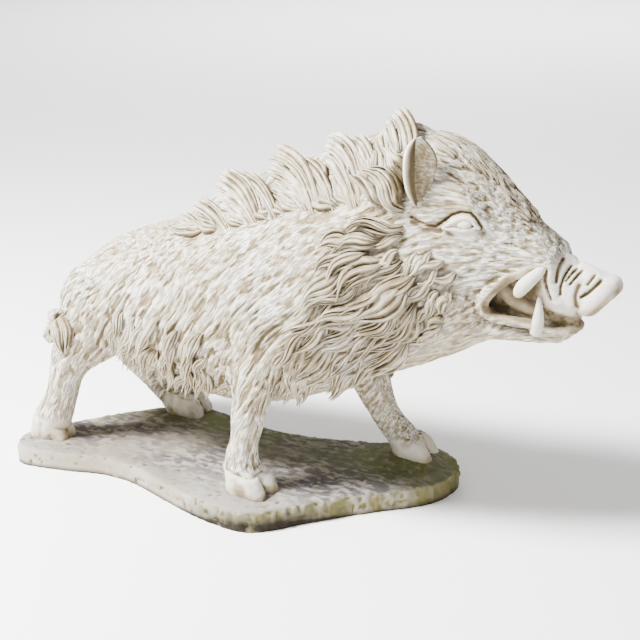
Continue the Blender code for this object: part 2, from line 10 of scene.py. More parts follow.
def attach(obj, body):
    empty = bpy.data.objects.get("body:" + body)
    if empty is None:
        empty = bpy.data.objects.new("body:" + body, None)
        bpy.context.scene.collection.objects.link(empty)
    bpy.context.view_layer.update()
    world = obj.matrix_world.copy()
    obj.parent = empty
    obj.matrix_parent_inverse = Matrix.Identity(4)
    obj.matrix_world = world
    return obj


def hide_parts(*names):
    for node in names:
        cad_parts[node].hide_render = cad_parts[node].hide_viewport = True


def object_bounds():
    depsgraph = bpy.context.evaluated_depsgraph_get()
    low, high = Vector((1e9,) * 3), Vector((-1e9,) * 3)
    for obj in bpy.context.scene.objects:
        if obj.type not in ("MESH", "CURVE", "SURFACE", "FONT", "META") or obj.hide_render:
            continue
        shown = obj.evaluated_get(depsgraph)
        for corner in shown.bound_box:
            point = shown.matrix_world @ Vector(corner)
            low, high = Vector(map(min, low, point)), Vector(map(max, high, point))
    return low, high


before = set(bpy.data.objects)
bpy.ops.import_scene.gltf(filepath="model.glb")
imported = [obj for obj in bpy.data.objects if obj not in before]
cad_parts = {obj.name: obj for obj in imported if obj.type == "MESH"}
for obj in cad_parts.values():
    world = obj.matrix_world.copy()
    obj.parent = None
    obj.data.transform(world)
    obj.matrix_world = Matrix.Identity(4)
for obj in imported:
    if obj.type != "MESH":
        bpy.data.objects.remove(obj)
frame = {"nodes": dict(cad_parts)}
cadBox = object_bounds()
print("frame loaded:", ", ".join(frame["nodes"]))

# The boar is worked out in units of 10 mm. Heights in its tables are counted from the slab's top.
figure = {
    "lengthInUnits": 123.11,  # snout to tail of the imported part
    "slabTop": 4.5,
    "hoofSink": 1.5,
    "headOrigin": (42.0, 55.5),
    "headDrop": 35.0,  # degrees that the face line falls towards the snout
    "formGrain": 0.75,
    "skinGrain": 0.29,
}
unit = (cadBox[1][0] - cadBox[0][0]) / figure["lengthInUnits"]
headCos = math.cos(math.radians(figure["headDrop"]))
headSin = math.sin(math.radians(figure["headDrop"]))


def bodyPoint(x, y, z):
    return Vector((x, y, z + figure["slabTop"]))


# Head axes: u runs down the face to the snout, v stands square to it
def headPoint(u, y, v):
    x0, z0 = figure["headOrigin"]
    return bodyPoint(x0 + u * headCos + v * headSin, y, z0 - u * headSin + v * headCos)


def headAxes(points):
    x = points[:, 0] - figure["headOrigin"][0]
    z = points[:, 2] - figure["slabTop"] - figure["headOrigin"][1]
    return x * headCos - z * headSin, x * headSin + z * headCos


def ramp(value, low, high):
    t = np.clip((np.asarray(value, float) - low) / (high - low), 0.0, 1.0)
    return t * t * (3 - 2 * t)


# Shapes are pairs of points and faces, so that many of them can go into one mesh
def loft(rings):
    rings = np.array(rings, float)
    rows, count = rings.shape[:2]
    first = np.arange(rows - 1)[:, None] * count + np.arange(count)[None, :]
    second = np.arange(rows - 1)[:, None] * count + (np.arange(count)[None, :] + 1) % count
    sides = np.stack([first, second, second + count, first + count], axis=-1).reshape(-1, 4)
    caps = [list(range(count)), list(range((rows - 1) * count, rows * count))]
    return rings.reshape(-1, 3), sides.tolist() + caps


# What the finish reads at each point: how much dirt and painted shade it gets, mostly from how sunken it is, how furry,
# and where it lies in the fur
def writeLooks(mesh, dirtAndShade, furry, place):
    mesh.attributes.new("dirtAndShade", "FLOAT", "POINT").data.foreach_set("value", dirtAndShade)
    mesh.attributes.new("furry", "FLOAT", "POINT").data.foreach_set("value", furry)
    mesh.attributes.new("furPlace", "FLOAT_VECTOR", "POINT").data.foreach_set("vector", place.ravel())


def meshObject(name, shapes, looks=None):
    points, faces, start = [], [], 0
    for spots, sides in shapes:
        points.append(spots)
        faces += [[start + i for i in side] for side in sides]
        start += len(spots)
    mesh = bpy.data.meshes.new(name)
    mesh.from_pydata(np.concatenate(points).tolist(), [], faces)
    form = bmesh.new()
    form.from_mesh(mesh)
    bmesh.ops.recalc_face_normals(form, faces=form.faces)
    form.to_mesh(mesh)
    form.free()
    mesh.shade_smooth()
    if looks is not None:
        looks = np.concatenate(looks)
        writeLooks(mesh, looks[:, 0], np.full(len(looks), 0.75), looks[:, 1:])
    obj = bpy.data.objects.new(name, mesh)
    bpy.context.scene.collection.objects.link(obj)
    return obj


# Rows of numbers read off a smooth curve through the given rows
def smoothRows(rows, steps):
    rows = np.array(rows, float)
    out = []
    for i in range(len(rows) - 1):
        a, b = rows[i], rows[i + 1]
        before, after = rows[max(i - 1, 0)], rows[min(i + 2, len(rows) - 1)]
        for t in np.arange(steps) / steps:
            out.append(0.5 * (2 * a + (b - before) * t + (2 * before - 5 * a + 4 * b - after) * t ** 2
                              + (3 * a - before - 3 * b + after) * t ** 3))
    out.append(rows[-1])
    return out


# Stations are distance along, top, bottom, half width, and squareness: 2 for an ellipse, more for a box
def stationLoft(stations, place, steps=4, count=48):
    rings = []
    for along, top, bottom, half, square in smoothRows(stations, steps):
        ring = []
        for a in 2 * math.pi * np.arange(count) / count:
            c, s = math.cos(a), math.sin(a)
            ring.append(place(along, max(half, 0.2) * math.copysign(abs(c) ** (2 / square), c),
                              (top + bottom) / 2 + (top - bottom) / 2 * math.copysign(abs(s) ** (2 / square), s)))
        rings.append(ring)
    return loft(rings)


# Rows are x, y, z, radius along the body, radius across it
def limb(rows, place=bodyPoint, steps=5, count=24):
    rows = np.array(smoothRows(rows, steps))
    rings = []
    for i, (x, y, z, along, across) in enumerate(rows):
        way = Vector(rows[min(i + 1, len(rows) - 1)][:3] - rows[max(i - 1, 0)][:3]).normalized()
        side = (Vector((0, 1, 0)) - way * way.y).normalized()
        front = side.cross(way)
        rings.append([place(*(Vector((x, y, z)) + front * along * math.cos(a) + side * across * math.sin(a)))
                      for a in 2 * math.pi * np.arange(count) / count])
    return loft(rings)


def ball(centre, radii, turn=0.0, tilt=0.0, rows=20, count=32):
    spin = Matrix.Rotation(tilt, 3, "Z") @ Matrix.Rotation(turn, 3, "Y")
    rings = []
    for b in np.linspace(0.03, math.pi - 0.03, rows):
        rings.append([centre + spin @ Vector((radii[0] * math.sin(b) * math.cos(a), radii[1] * math.sin(b) * math.sin(a),
                                              radii[2] * math.cos(b))) for a in 2 * math.pi * np.arange(count) / count])
    return loft(rings)


def mirrored(rows, hand):
    return [(row[0], -hand * row[1], *row[2:]) for row in rows]


def bakeModifiers(obj):
    mesh = bpy.data.meshes.new_from_object(obj.evaluated_get(bpy.context.evaluated_depsgraph_get()))
    old = obj.data
    obj.modifiers.clear()
    obj.data = mesh
    bpy.data.meshes.remove(old)


# One closed skin of even grain over overlapping shapes, softened at the joins
def fuse(name, shapes, grain, softening):
    obj = meshObject(name, shapes)
    remesh = obj.modifiers.new("one skin", "REMESH")
    remesh.mode = "VOXEL"
    remesh.voxel_size = grain
    smooth = obj.modifiers.new("soft joins", "SMOOTH")
    smooth.factor = 0.5
    smooth.iterations = softening
    bakeModifiers(obj)
    return obj


def treeOf(obj):
    form = bmesh.new()
    form.from_mesh(obj.data)
    tree = BVHTree.FromBMesh(form)
    form.free()
    return tree


# Smooth noise between -1 and 1 on a lattice of cells of the given size
def latticeNoise(points, cell, seed):
    table = np.random.default_rng(seed).uniform(-1, 1, 8192)
    spot = points / cell
    base = np.floor(spot).astype(np.int64)
    t = spot - base
    t = t * t * (3 - 2 * t)
    keys = [[(base[:, k] + step) * prime for step in (0, 1)] for k, prime in enumerate((73856093, 19349663, 83492791))]
    total = np.zeros(len(points))
    for i in (0, 1):
        for j in (0, 1):
            for k in (0, 1):
                weight = (t[:, 0] if i else 1 - t[:, 0]) * (t[:, 1] if j else 1 - t[:, 1]) * (t[:, 2] if k else 1 - t[:, 2])
                total += weight * table[(keys[0][i] ^ keys[1][j] ^ keys[2][k]) & 8191]
    return total


# Which way the hair lies: x, height, and degrees that it falls below straight back
hair = {
    "ways": [
        (-37, 34, 55), (-31, 40, 42), (-35, 24, 55), (-27, 31, 42), (-20, 44, 42), (-20, 34, 50), (-20, 25, 62),
        (-9, 47, 44), (-8, 36, 54), (-8, 24, 68), (3, 48, 46), (4, 38, 54), (4, 24, 64), (14, 51, 40), (14, 40, 54),
        (14, 27, 60), (24, 46, 46), (24, 30, 42), (34, 49, 44), (34, 35, 36), (44, 51, 38), (42, 38, 34),
        (24, 52, 30), (31, 54.5, 24), (37, 56, 20), (43, 57, 18), (50, 55, 16), (46.5, 47.5, 40), (60.8, 54.5, -8),
        (55.2, 50, 12), (46.6, 38, 34), (58, 37, 42), (50, 67, -42), (58, 61, -34), (65, 54, -22),
        (-8, 49.5, -12), (0, 52.5, -30), (8, 55.5, -38), (16, 57.5, -42), (24, 59, -48), (32, 61, -52), (39, 62.5, -60),
        (-4, 53, -8), (6, 59, -12), (14, 62, -14), (22, 64.5, -18), (30, 67.5, -22), (36, 70, -30), (43, 67, -64),
        (12, 14, 72), (11, 5, 84), (26, 14, 62), (33, 5, 50), (-36, 12, 72), (-36, 4, 84), (-32, 12, 58), (-24, 5, 50),
    ],
    "wander": 8.0,  # degrees that neighbouring strands stray
    "wanderSize": 5.5,
}
wayCorner = np.array([-50.0, -8.0])
wayShape = (136, 92)


def layOutHair(ways):
    xs, zs = np.meshgrid(wayCorner[0] + np.arange(wayShape[0]), wayCorner[1] + np.arange(wayShape[1]), indexing="ij")
    total = np.zeros(wayShape + (2,))
    for x, z, angle in ways:
        weight = 1 / ((xs - x) ** 2 + (zs - z) ** 2 + 6.0) ** 2
        total[..., 0] += weight * math.cos(math.radians(angle))
        total[..., 1] += weight * math.sin(math.radians(angle))
    grid = np.stack([xs.ravel(), zs.ravel(), np.zeros(xs.size)], axis=1)
    stray = latticeNoise(grid, hair["wanderSize"], 11).reshape(wayShape) * math.radians(hair["wander"]) * 2
    angle = np.arctan2(total[..., 1], total[..., 0]) + stray
    return np.stack([-np.cos(angle), -np.sin(angle)], axis=-1)


hairField = layOutHair(hair["ways"])
furField = layOutHair([way for way in hair["ways"] if way[2] > 0 or way[0] > 45])


# Two scales over the side of the animal, one along the hair and one across it
def layOutScales():
    along, upward = (2 * math.pi * np.fft.fftfreq(2 * count) for count in wayShape)
    along, upward = np.meshgrid(along, upward, indexing="ij")
    square = along ** 2 + upward ** 2
    square[0, 0] = 1.0
    scales = []
    for wayX, wayZ in ((furField[..., 0], furField[..., 1]), (-furField[..., 1], furField[..., 0])):
        wayX, wayZ = np.concatenate([wayX, -wayX[::-1]]), np.concatenate([wayZ, wayZ[::-1]])
        wayX, wayZ = np.concatenate([wayX, wayX[:, ::-1]], axis=1), np.concatenate([wayZ, -wayZ[:, ::-1]], axis=1)
        total = (along * np.fft.fft2(wayX) + upward * np.fft.fft2(wayZ)) * -1j / square
        scales.append(np.fft.ifft2(total).real[:wayShape[0], :wayShape[1]])
    return np.stack(scales, axis=-1)


hairScales = layOutScales()


def fromGrid(grid, points):
    spot = np.stack([points[:, 0] - wayCorner[0], points[:, 2] - figure["slabTop"] - wayCorner[1]], axis=1)
    spot = np.clip(spot, 0.0, np.array(wayShape) - 1.001)
    base = spot.astype(int)
    (a, b), (i, j) = (spot - base).T, base.T
    return (grid[i, j] * ((1 - a) * (1 - b))[:, None] + grid[i + 1, j] * (a * (1 - b))[:, None]
            + grid[i, j + 1] * ((1 - a) * b)[:, None] + grid[i + 1, j + 1] * (a * b)[:, None])


def hairWay(points):
    way = fromGrid(hairField, points)
    return np.stack([way[:, 0], np.zeros(len(way)), way[:, 1]], axis=1)


# Where points lie in the fur: along the hair, across it, and from side to side
def furPlace(points):
    return np.column_stack([fromGrid(hairScales, points), points[:, 1]])


# Long narrow streaks along the hair, spread of 1 about zero
def streaks(place, width, length, seed):
    bent = place + 0.35 * width * np.stack([latticeNoise(place, 3.0 * width, seed + k) for k in range(3)], axis=1)
    total = latticeNoise(bent / np.array([length, width, width]), 1.0, seed)
    total += 0.6 * latticeNoise(bent / np.array([length, width, width]) * 1.7, 1.0, seed + 50)
    return total / total.std()


# Strokes of fur side by side: 0 in a groove and 1 on a ridge
def strokes(lines, sharpness=0.55):
    return np.clip(0.55 + sharpness * lines, 0.0, 1.0) ** 0.8


# Rounded lumps between narrow grooves
def lumps(lines):
    return np.clip(np.sqrt(lines ** 2 + 0.02) / 1.3, 0.0, 1.0) ** 0.7


# The masses of the animal under its hair
body = {
    "torso": [
        (-37.6, 31.0, 23.6, 2.6, 2.0), (-36.6, 33.8, 21.0, 6.0, 2.0), (-34.0, 37.8, 20.2, 9.4, 2.0),
        (-28.0, 42.6, 20.6, 12.4, 2.1), (-20.0, 46.2, 18.4, 14.0, 2.2), (-11.0, 49.0, 15.2, 15.0, 2.2),
        (-2.0, 51.0, 13.8, 15.6, 2.2), (7.0, 54.0, 13.8, 16.0, 2.2), (16.0, 57.4, 15.8, 15.8, 2.2),
        (25.0, 60.4, 19.4, 15.0, 2.1), (33.0, 62.5, 23.4, 13.8, 2.1), (41.0, 63.0, 26.8, 12.0, 2.0),
        (48.0, 59.0, 30.4, 10.0, 2.0), (55.0, 50.0, 34.6, 7.0, 2.0),
    ],
    "foreRight": [
        (14.0, -8.5, 36.0, 8.0, 5.0), (13.8, -10.8, 29.0, 6.4, 5.0), (12.6, -12.0, 23.0, 4.9, 4.3),
        (11.7, -12.8, 16.0, 3.6, 3.6), (11.0, -13.2, 11.0, 3.0, 3.1), (10.3, -13.4, 7.2, 3.3, 3.5),
        (10.6, -13.5, 4.0, 3.7, 3.9), (11.0, -13.5, 1.0, 4.0, 4.0), (11.0, -13.5, -1.5, 4.0, 4.0),
    ],
    "foreLeft": [
        (18.4, 7.5, 34.0, 9.0, 5.0), (22.2, 10.0, 25.0, 6.8, 4.8), (25.6, 12.0, 17.5, 4.5, 4.2),
        (27.6, 13.4, 11.0, 3.2, 3.5), (30.0, 14.2, 6.8, 3.0, 3.2), (32.2, 14.6, 4.2, 3.3, 3.5),
        (34.0, 14.7, 1.2, 3.9, 3.9), (34.0, 14.7, -1.5, 3.9, 3.9),
    ],
    "hindRight": [
        (-25.4, -6.0, 29.4, 9.4, 6.0), (-28.6, -8.6, 24.8, 7.6, 5.6), (-32.2, -10.2, 20.0, 5.6, 4.6),
        (-34.4, -11.0, 14.8, 3.7, 3.8), (-35.6, -11.2, 10.4, 3.4, 3.5), (-37.6, -11.3, 6.0, 3.9, 3.7),
        (-39.2, -11.3, 2.8, 4.3, 4.0), (-39.8, -11.3, 0.0, 4.5, 4.2), (-39.8, -11.3, -1.5, 4.5, 4.2),
    ],
    "hindLeft": [
        (-26.5, 6.0, 30.0, 9.0, 6.0), (-31.0, 8.6, 24.8, 6.8, 5.4), (-35.0, 10.4, 18.4, 5.0, 4.4),
        (-34.6, 11.4, 13.0, 3.8, 3.8), (-31.0, 12.0, 8.8, 3.1, 3.3), (-26.8, 12.3, 5.4, 3.1, 3.3),
        (-23.2, 12.5, 2.6, 3.3, 3.6), (-21.8, 12.5, 0.6, 3.6, 3.8), (-21.8, 12.5, -1.5, 3.6, 3.8),
    ],
    "shoulder": ((12.0, 8.5, 36.0), (9.5, 8.0, 13.0), 0.25),
    "haunch": ((-26.5, 6.6, 29.6), (10.5, 8.0, 10.4), 0.35),
}
head = {
    "skull": [
        (-13.0, 9.0, -8.0, 6.0, 2.0), (-9.0, 13.2, -11.0, 9.2, 2.1), (-3.0, 15.8, -13.0, 10.2, 2.1),
        (3.0, 15.9, -13.0, 10.2, 2.1), (9.0, 15.2, -11.5, 9.4, 2.1), (14.0, 14.4, -9.0, 8.3, 2.1),
        (17.0, 13.9, -4.0, 7.4, 2.2), (18.6, 13.7, 4.4, 7.0, 2.2), (20.5, 13.4, 7.6, 6.4, 2.3),
        (22.6, 13.0, 6.0, 6.0, 2.4), (24.6, 12.7, 3.4, 5.6, 2.4), (28.2, 13.3, 3.4, 5.0, 2.4),
        (30.8, 14.2, 5.0, 4.5, 2.4),
    ],
    "jaw": [
        (2.0, -3.0, -15.0, 7.0, 2.0), (9.0, -3.0, -17.5, 8.0, 2.1), (14.5, -2.0, -16.8, 7.4, 2.1),
        (18.2, -2.6, -14.4, 6.6, 2.2), (22.4, -2.2, -8.9, 5.6, 2.2), (26.8, -0.4, -4.8, 5.0, 2.2),
        (30.6, 2.2, -1.8, 4.4, 2.2), (32.6, 3.8, 0.2, 3.4, 2.2), (33.2, 4.4, 2.2, 2.2, 2.2),
    ],
    "mouthCore": [
        (14.0, 3.0, -4.0, 4.6, 2.2), (20.0, 9.0, -4.0, 3.6, 2.4), (25.0, 7.0, -2.6, 3.0, 2.4),
        (29.0, 7.0, -0.4, 3.0, 2.2), (32.2, 6.4, 1.6, 2.2, 2.0),
    ],
    "cheek": ((7.0, 5.2, -5.5), (8.0, 5.2, 7.0), 0.6),
    "brow": ((4.6, 6.4, 10.2), (6.0, 2.6, 2.6), 0.75),
}


# The wedge that the crest stands on: x, height of its top edge and half its thickness there
crestWedge = {
    "rows": [
        (-15.0, 47.0, 1.0), (-6.0, 52.8, 1.8), (0.0, 57.2, 2.2), (8.0, 60.8, 2.4), (16.0, 64.0, 2.6),
        (24.0, 67.4, 2.8), (32.0, 70.6, 2.8), (37.0, 73.2, 2.9), (42.0, 72.4, 3.1), (47.0, 68.0, 3.3),
    ],
    "depth": 14.0,
    "spread": 1.8,
}


def wedgeShape():
    rings = []
    for x, top, half in smoothRows(crestWedge["rows"], 4):
        ring = []
        for a in 2 * math.pi * np.arange(24) / 24:
            drop = crestWedge["depth"] / 2 * (1 - math.copysign(abs(math.sin(a)) ** 1.25, math.sin(a)))
            flare = 1 + crestWedge["spread"] * drop / crestWedge["depth"]
            ring.append(bodyPoint(x, half * flare * math.copysign(abs(math.cos(a)) ** 1.25, math.cos(a)), top - drop))
        rings.append(ring)
    return loft(rings)


def formShapes():
    shapes = [stationLoft(body["torso"], bodyPoint), wedgeShape()]
    shapes += [stationLoft(head[name], headPoint) for name in ("skull", "jaw", "mouthCore")]
    shapes += [limb(body[name]) for name in ("foreRight", "foreLeft", "hindRight", "hindLeft")]
    for place, masses in ((bodyPoint, (body["shoulder"], body["haunch"])), (headPoint, (head["cheek"], head["brow"]))):
        for (along, out, up), radii, turn in masses:
            shapes += [ball(place(along, hand * out, up), radii, turn) for hand in (-1, 1)]
    return shapes


form = fuse("form", formShapes(), figure["formGrain"], 6)
formTree = treeOf(form)
print("form fused:", len(form.data.polygons), "faces")


# A line that starts near a point of the form and follows the hair on it; past "free" it hangs on unsupported
def hairLine(start, length, steps, lift=0.0, wave=0.0, phase=0.0, fall=0.0, way=None, free=1.0):
    point, normal, _, _ = formTree.find_nearest(start)
    points, normals = [], []
    for i in range(steps + 1):
        share = i / steps
        points.append(point + normal * lift * share ** 1.5)
        normals.append(normal)
        flow = way or Vector(hairWay(np.array([point]))[0])
        turn = fall * share + wave * math.sin(phase + share * 2 * math.pi)
        side = normal.cross(flow).normalized() * (1 if normal.y < 0 else -1)
        ahead = flow * math.cos(turn) + side * math.sin(turn)
        if share < free:
            ahead -= normal * ahead.dot(normal)
            point, normal, _, _ = formTree.find_nearest(point + ahead.normalized() * length / steps)
        else:
            point = point + (ahead + Vector((0, 0, -0.5))).normalized() * length / steps
    return np.array(points), np.array(normals)


# One lock of hair along a line: strands side by side, the middle ones proud, each with its own end
def strandLock(points, normals, halfWidth, height, strands, luck, blunt=False, sides=7):
    rows = len(points)
    share = np.linspace(0, 1, rows)
    ahead = np.gradient(points, axis=0)
    ahead /= np.linalg.norm(ahead, axis=1)[:, None]
    across = np.cross(normals, ahead)
    across /= np.linalg.norm(across, axis=1)[:, None]
    out = np.cross(ahead, across)
    angles = math.pi / 2 + 2 * math.pi * np.arange(sides) / sides
    c, s = np.cos(angles), np.sin(angles)
    deep = np.where(s < 0, 1.7, 1.0) * s
    shapes, looks = [], []
    shares = luck.uniform(0.5, 1.6, strands)
    edges = np.concatenate([[0.0], np.cumsum(shares)]) / shares.sum() * 2 - 1
    for k in range(strands):
        place, breadth = (edges[k] + edges[k + 1]) / 2, (edges[k + 1] - edges[k]) / 2
        stop = 1 - luck.uniform(0.0, 0.12) - 0.12 * abs(place)
        at = share * stop
        p, a, o = (np.stack([np.interp(at, share, line[:, i]) for i in range(3)], axis=1) for line in (points, across, out))
        if blunt:
            spread = 0.5 + 0.5 * ramp(at, 0.0, 0.6)
            thick = (0.55 + 0.45 * ramp(share, 0.0, 0.3)) * np.where(share > 0.98, 0.8, 1.0)
        else:
            spread = (0.25 + 0.75 * ramp(at, 0.0, 0.4)) * (1 - 0.8 * ramp(at, 0.45, 1.0))
            thick = (0.2 + 0.8 * ramp(share, 0.0, 0.28)) * np.clip(1 - share ** 3.2, 0.06, 1) ** 0.75
        stray = 0.07 * halfWidth * np.sin(at * luck.uniform(3, 7) + luck.uniform(0, 6.3))
        rise = height * (0.5 * (1 - place * place) + luck.uniform(-0.2, 0.2)) * ramp(share, -0.1, 0.35)
        rise -= (0.0 if blunt else 0.8) * (1 - ramp(share, 0.0, 0.25))
        middle = p + a * (place * halfWidth * spread + stray)[:, None] + o * rise[:, None]
        wide = halfWidth * breadth * luck.uniform(1.15, 1.35) * thick * (0.55 + 0.45 * spread)
        tall = (0.35 if blunt else 0.5) * wide + 0.22 * height * thick * luck.uniform(0.7, 1.3)
        rings = middle[:, None] + a[:, None] * (wide[:, None] * c)[..., None] + o[:, None] * (tall[:, None] * deep)[..., None]
        shapes.append(loft(rings))
        # Painted shade: each strand is darker along its sides and near its root and lighter at its end, with a random
        # amount per strand
        rootShadeAndTone = 0.25 * (1 - ramp(share, 0.0, 0.25)) - luck.uniform(-0.1, 0.12)
        dirtAndShade = (1.15 - np.abs(s)) * (1 - 0.8 * ramp(share, 0.85, 1.0))[:, None] + rootShadeAndTone[:, None]
        along = luck.uniform(0, 90) + np.concatenate([[0], np.cumsum(np.linalg.norm(np.diff(middle, axis=0), axis=1))])
        looks.append(np.column_stack([np.clip(dirtAndShade, 0, 1).ravel(), np.repeat(along, sides),
                                      1.5 * (wide[:, None] * c).ravel(), np.full(rows * sides, luck.uniform(0, 90))]))
    return shapes, looks


# Long locks of the neck, from the shoulder forward: x of the roots, lowest and highest root, count, length
neckMane = {
    "rows": [
        (29.0, 21.0, 45.0, 10, 13.5), (33.0, 21.5, 56.5, 14, 14.5), (37.5, 23.5, 60.0, 15, 15.0),
        (42.0, 26.0, 61.5, 14, 14.5), (45.5, 29.0, 53.5, 11, 12.5),
    ],
    "halfWidth": (1.2, 2.5),
    "height": (1.4, 2.7),
    "lift": 1.5,
    "wave": 0.42,
}


def neckLocks(hand):
    luck = np.random.default_rng(5 if hand < 0 else 6)
    shapes, looks = [], []
    for x, low, high, count, length in neckMane["rows"]:
        for rank in range(count):
            z = low + (high - low) * (rank + 0.5) / count
            start = bodyPoint(x + luck.uniform(-2.0, 2.0), hand * 16.0, z + luck.uniform(-0.8, 0.8))
            reach = length * luck.uniform(0.75, 1.15) * (1 - 0.5 * ramp(z, 46.0, 58.0) * (1 - ramp(x, 34.0, 44.0)))
            points, normals = hairLine(start, reach, 14, neckMane["lift"] * luck.uniform(0.5, 1.4),
                                       neckMane["wave"] * luck.uniform(0.6, 1.3), 0.16 * z + luck.uniform(-0.8, 0.8), 0.14)
            made = strandLock(points, normals, luck.uniform(*neckMane["halfWidth"]), luck.uniform(*neckMane["height"]),
                              int(luck.integers(4, 8)), luck, sides=6)
            shapes += made[0]
            looks += made[1]
    return shapes, looks


# Short wavy locks of the cheek, in head axes: u of the roots, lowest and highest v, count, length
cheekHair = {
    "rows": [
        (1.0, -12.0, 0.5, 8, 8.5), (4.0, -13.5, 1.0, 10, 8.0), (7.0, -14.5, 1.5, 11, 7.5), (10.0, -15.0, 2.0, 12, 7.0),
        (13.0, -14.8, 1.0, 11, 6.0), (15.6, -14.0, -1.0, 8, 5.0),
    ],
    "halfWidth": (0.6, 1.1),
    "height": (0.5, 1.0),
    "lift": 0.5,
    "wave": 0.6,
}


def cheekLocks():
    luck = np.random.default_rng(8)
    shapes, looks = [], []
    for u, low, high, count, length in cheekHair["rows"]:
        for rank in range(count):
            v = low + (high - low) * (rank + 0.5) / count
            for hand in (-1, 1):
                start = headPoint(u + luck.uniform(-1.2, 1.2), hand * 12.0, v + luck.uniform(-0.5, 0.5))
                points, normals = hairLine(start, length * luck.uniform(0.8, 1.2), 12, cheekHair["lift"],
                                           cheekHair["wave"] * luck.uniform(0.5, 1.3), 0.5 * v + luck.uniform(-0.8, 0.8))
                made = strandLock(points, normals, luck.uniform(*cheekHair["halfWidth"]),
                                  luck.uniform(*cheekHair["height"]), int(luck.integers(2, 4)), luck)
                shapes += made[0]
                looks += made[1]
    return shapes, looks


# Short single strokes that run from the nose over the forehead to the crest: lowest and highest u, farthest out,
# how many, length
faceFur = {
    "forehead": (-5.0, 17.0, 8.4, 380, 3.8),
    "halfWidth": (0.20, 0.38),
    "height": 0.20,
}


def faceStrokes():
    luck = np.random.default_rng(10)
    low, high, farOut, count, length = faceFur["forehead"]
    shapes, looks = [], []
    for k in range(count):
        u, out = luck.uniform(low, high), luck.uniform(-farOut, farOut)
        if u > -1.0 and abs(out) > 5.4:
            continue
        reach = length * (1.3 - 0.035 * (u - low)) * luck.uniform(0.7, 1.3)
        points, normals = hairLine(headPoint(u, out, 22.0 - 0.5 * abs(out)), reach, 7, 0.16, 0.2 * luck.uniform(-1, 1))
        made = strandLock(points, normals, luck.uniform(*faceFur["halfWidth"]), faceFur["height"], 1, luck, sides=6)
        shapes += made[0]
        looks += made[1]
    return shapes, looks


# The crest: tufts that stand free, back to front, as x and height of the tip and of the root, and half width,
# and the hair on its sides, as x and height where each lock starts
crest = {
    "tufts": [
        ((-12.0, 49.6), (1.0, 47.4), 1.7), ((-7.2, 52.6), (6.5, 49.0), 2.0), ((-2.0, 57.6), (13.0, 50.5), 3.4),
        ((2.8, 59.2), (17.0, 52.0), 1.5), ((10.0, 62.8), (25.0, 53.5), 3.6), ((15.2, 63.6), (28.5, 55.0), 1.5),
        ((21.8, 67.0), (34.0, 56.0), 3.5), ((27.4, 68.4), (36.5, 57.5), 1.6), ((34.4, 72.2), (41.0, 59.5), 3.6),
        ((39.2, 70.2), (41.5, 61.5), 1.4),
    ],
    "layers": [(0.0, 0.9, 1.0), (3.2, 3.4, 1.1), (6.6, 6.2, 1.15)],  # drop of the tip, how far out, share of the width
    "farSideAhead": -0.6,
    "farSideSink": 2.6,
    "layerShift": 2.6,
    "rootOut": 9.5,
    "rootLimit": 42.0,
    "height": 0.9,
    "strandWidth": 0.46,
    "sideRoots": [(-2, 50), (3, 51.5), (8, 53), (13, 54.5), (18, 55.5), (23, 56.5), (28, 57.5), (33, 59), (38, 60.5), (42, 62)],
    "sideRows": [(0.0, 9.0), (3.6, 8.0)],  # how far up each row starts, length
    "sideHalfWidth": (1.5, 2.6),
}


def crestLocks():
    luck = np.random.default_rng(9)
    shapes, looks = [], []
    for hand in (-1, 1):
        for up, length in crest["sideRows"]:
            for x, z in crest["sideRoots"]:
                start = bodyPoint(x + 0.5 * up + luck.uniform(-1.5, 1.5), hand * crest["rootOut"], z + up + luck.uniform(0.5, 2.2))
                halfWidth = luck.uniform(*crest["sideHalfWidth"])
                slope = math.radians(20 + 0.8 * (x + 2))
                points, normals = hairLine(start, length * luck.uniform(0.75, 1.2), 14, 0.8, 0.25, luck.uniform(0, 6.3),
                                           way=Vector((-math.cos(slope), 0, math.sin(slope))))
                made = strandLock(points, normals, halfWidth, crest["height"], round(halfWidth / crest["strandWidth"]), luck)
                shapes += made[0]
                looks += made[1]
        for layer, (drop, tipOut, widthShare) in enumerate(crest["layers"]):
            shift = crest["layerShift"] * layer
            for (tipX, tipZ), (rootX, rootZ), halfWidth in crest["tufts"]:
                aside = crest["farSideAhead"] * (hand > 0) + luck.uniform(-1.6, 1.6) * (layer > 0)
                low = luck.uniform(0.0, 0.8 * (hand > 0) + 1.8 * (layer > 0))
                tip = (tipX + shift + aside, tipZ - drop - low)
                root = (min(rootX + 0.6 * shift + aside, crest["rootLimit"]), rootZ - 0.4 * drop)
                bend = (tip[0] * 0.36 + root[0] * 0.64, tip[1] + 0.16 * (tip[1] - root[1]))
                t = np.linspace(0, 1, 16)
                x, z = ((1 - t) ** 2 * root[k] + 2 * t * (1 - t) * bend[k] + t ** 2 * tip[k] for k in (0, 1))
                z -= (hand > 0) * crest["farSideSink"] * 4 * t * (1 - t)
                out = hand * (crest["rootOut"] + (tipOut - crest["rootOut"]) * t ** 0.95)
                points = np.stack([x, out, z + figure["slabTop"]], axis=1)
                normals = np.tile(Vector((0, hand, 0.25)).normalized(), (len(t), 1))
                broad = halfWidth * widthShare * luck.uniform(0.85, 1.15)
                made = strandLock(points, normals, broad, crest["height"], round(broad / crest["strandWidth"]) + 1,
                                  luck, blunt=True, sides=6)
                shapes += made[0]
                looks += made[1]
    return shapes, looks


# Hanging locks of the belly and the breast: x and height of the first root, step to the next, count, length
fringe = {
    "rows": [
        ((-18.0, 23.0), (1.4, 0.0), 16, 9.5), ((-18.5, 27.0), (1.7, 0.0), 14, 9.5), ((-16.0, 31.5), (2.4, 0.0), 9, 9.0),
        ((20.5, 22.6), (1.6, 0.7), 12, 9.0), ((20.0, 28.0), (1.9, 0.8), 10, 8.5),
    ],
    "halfWidth": (0.9, 1.6),
    "height": (0.4, 0.9),
    "lift": 0.9,
    "free": 0.62,
}


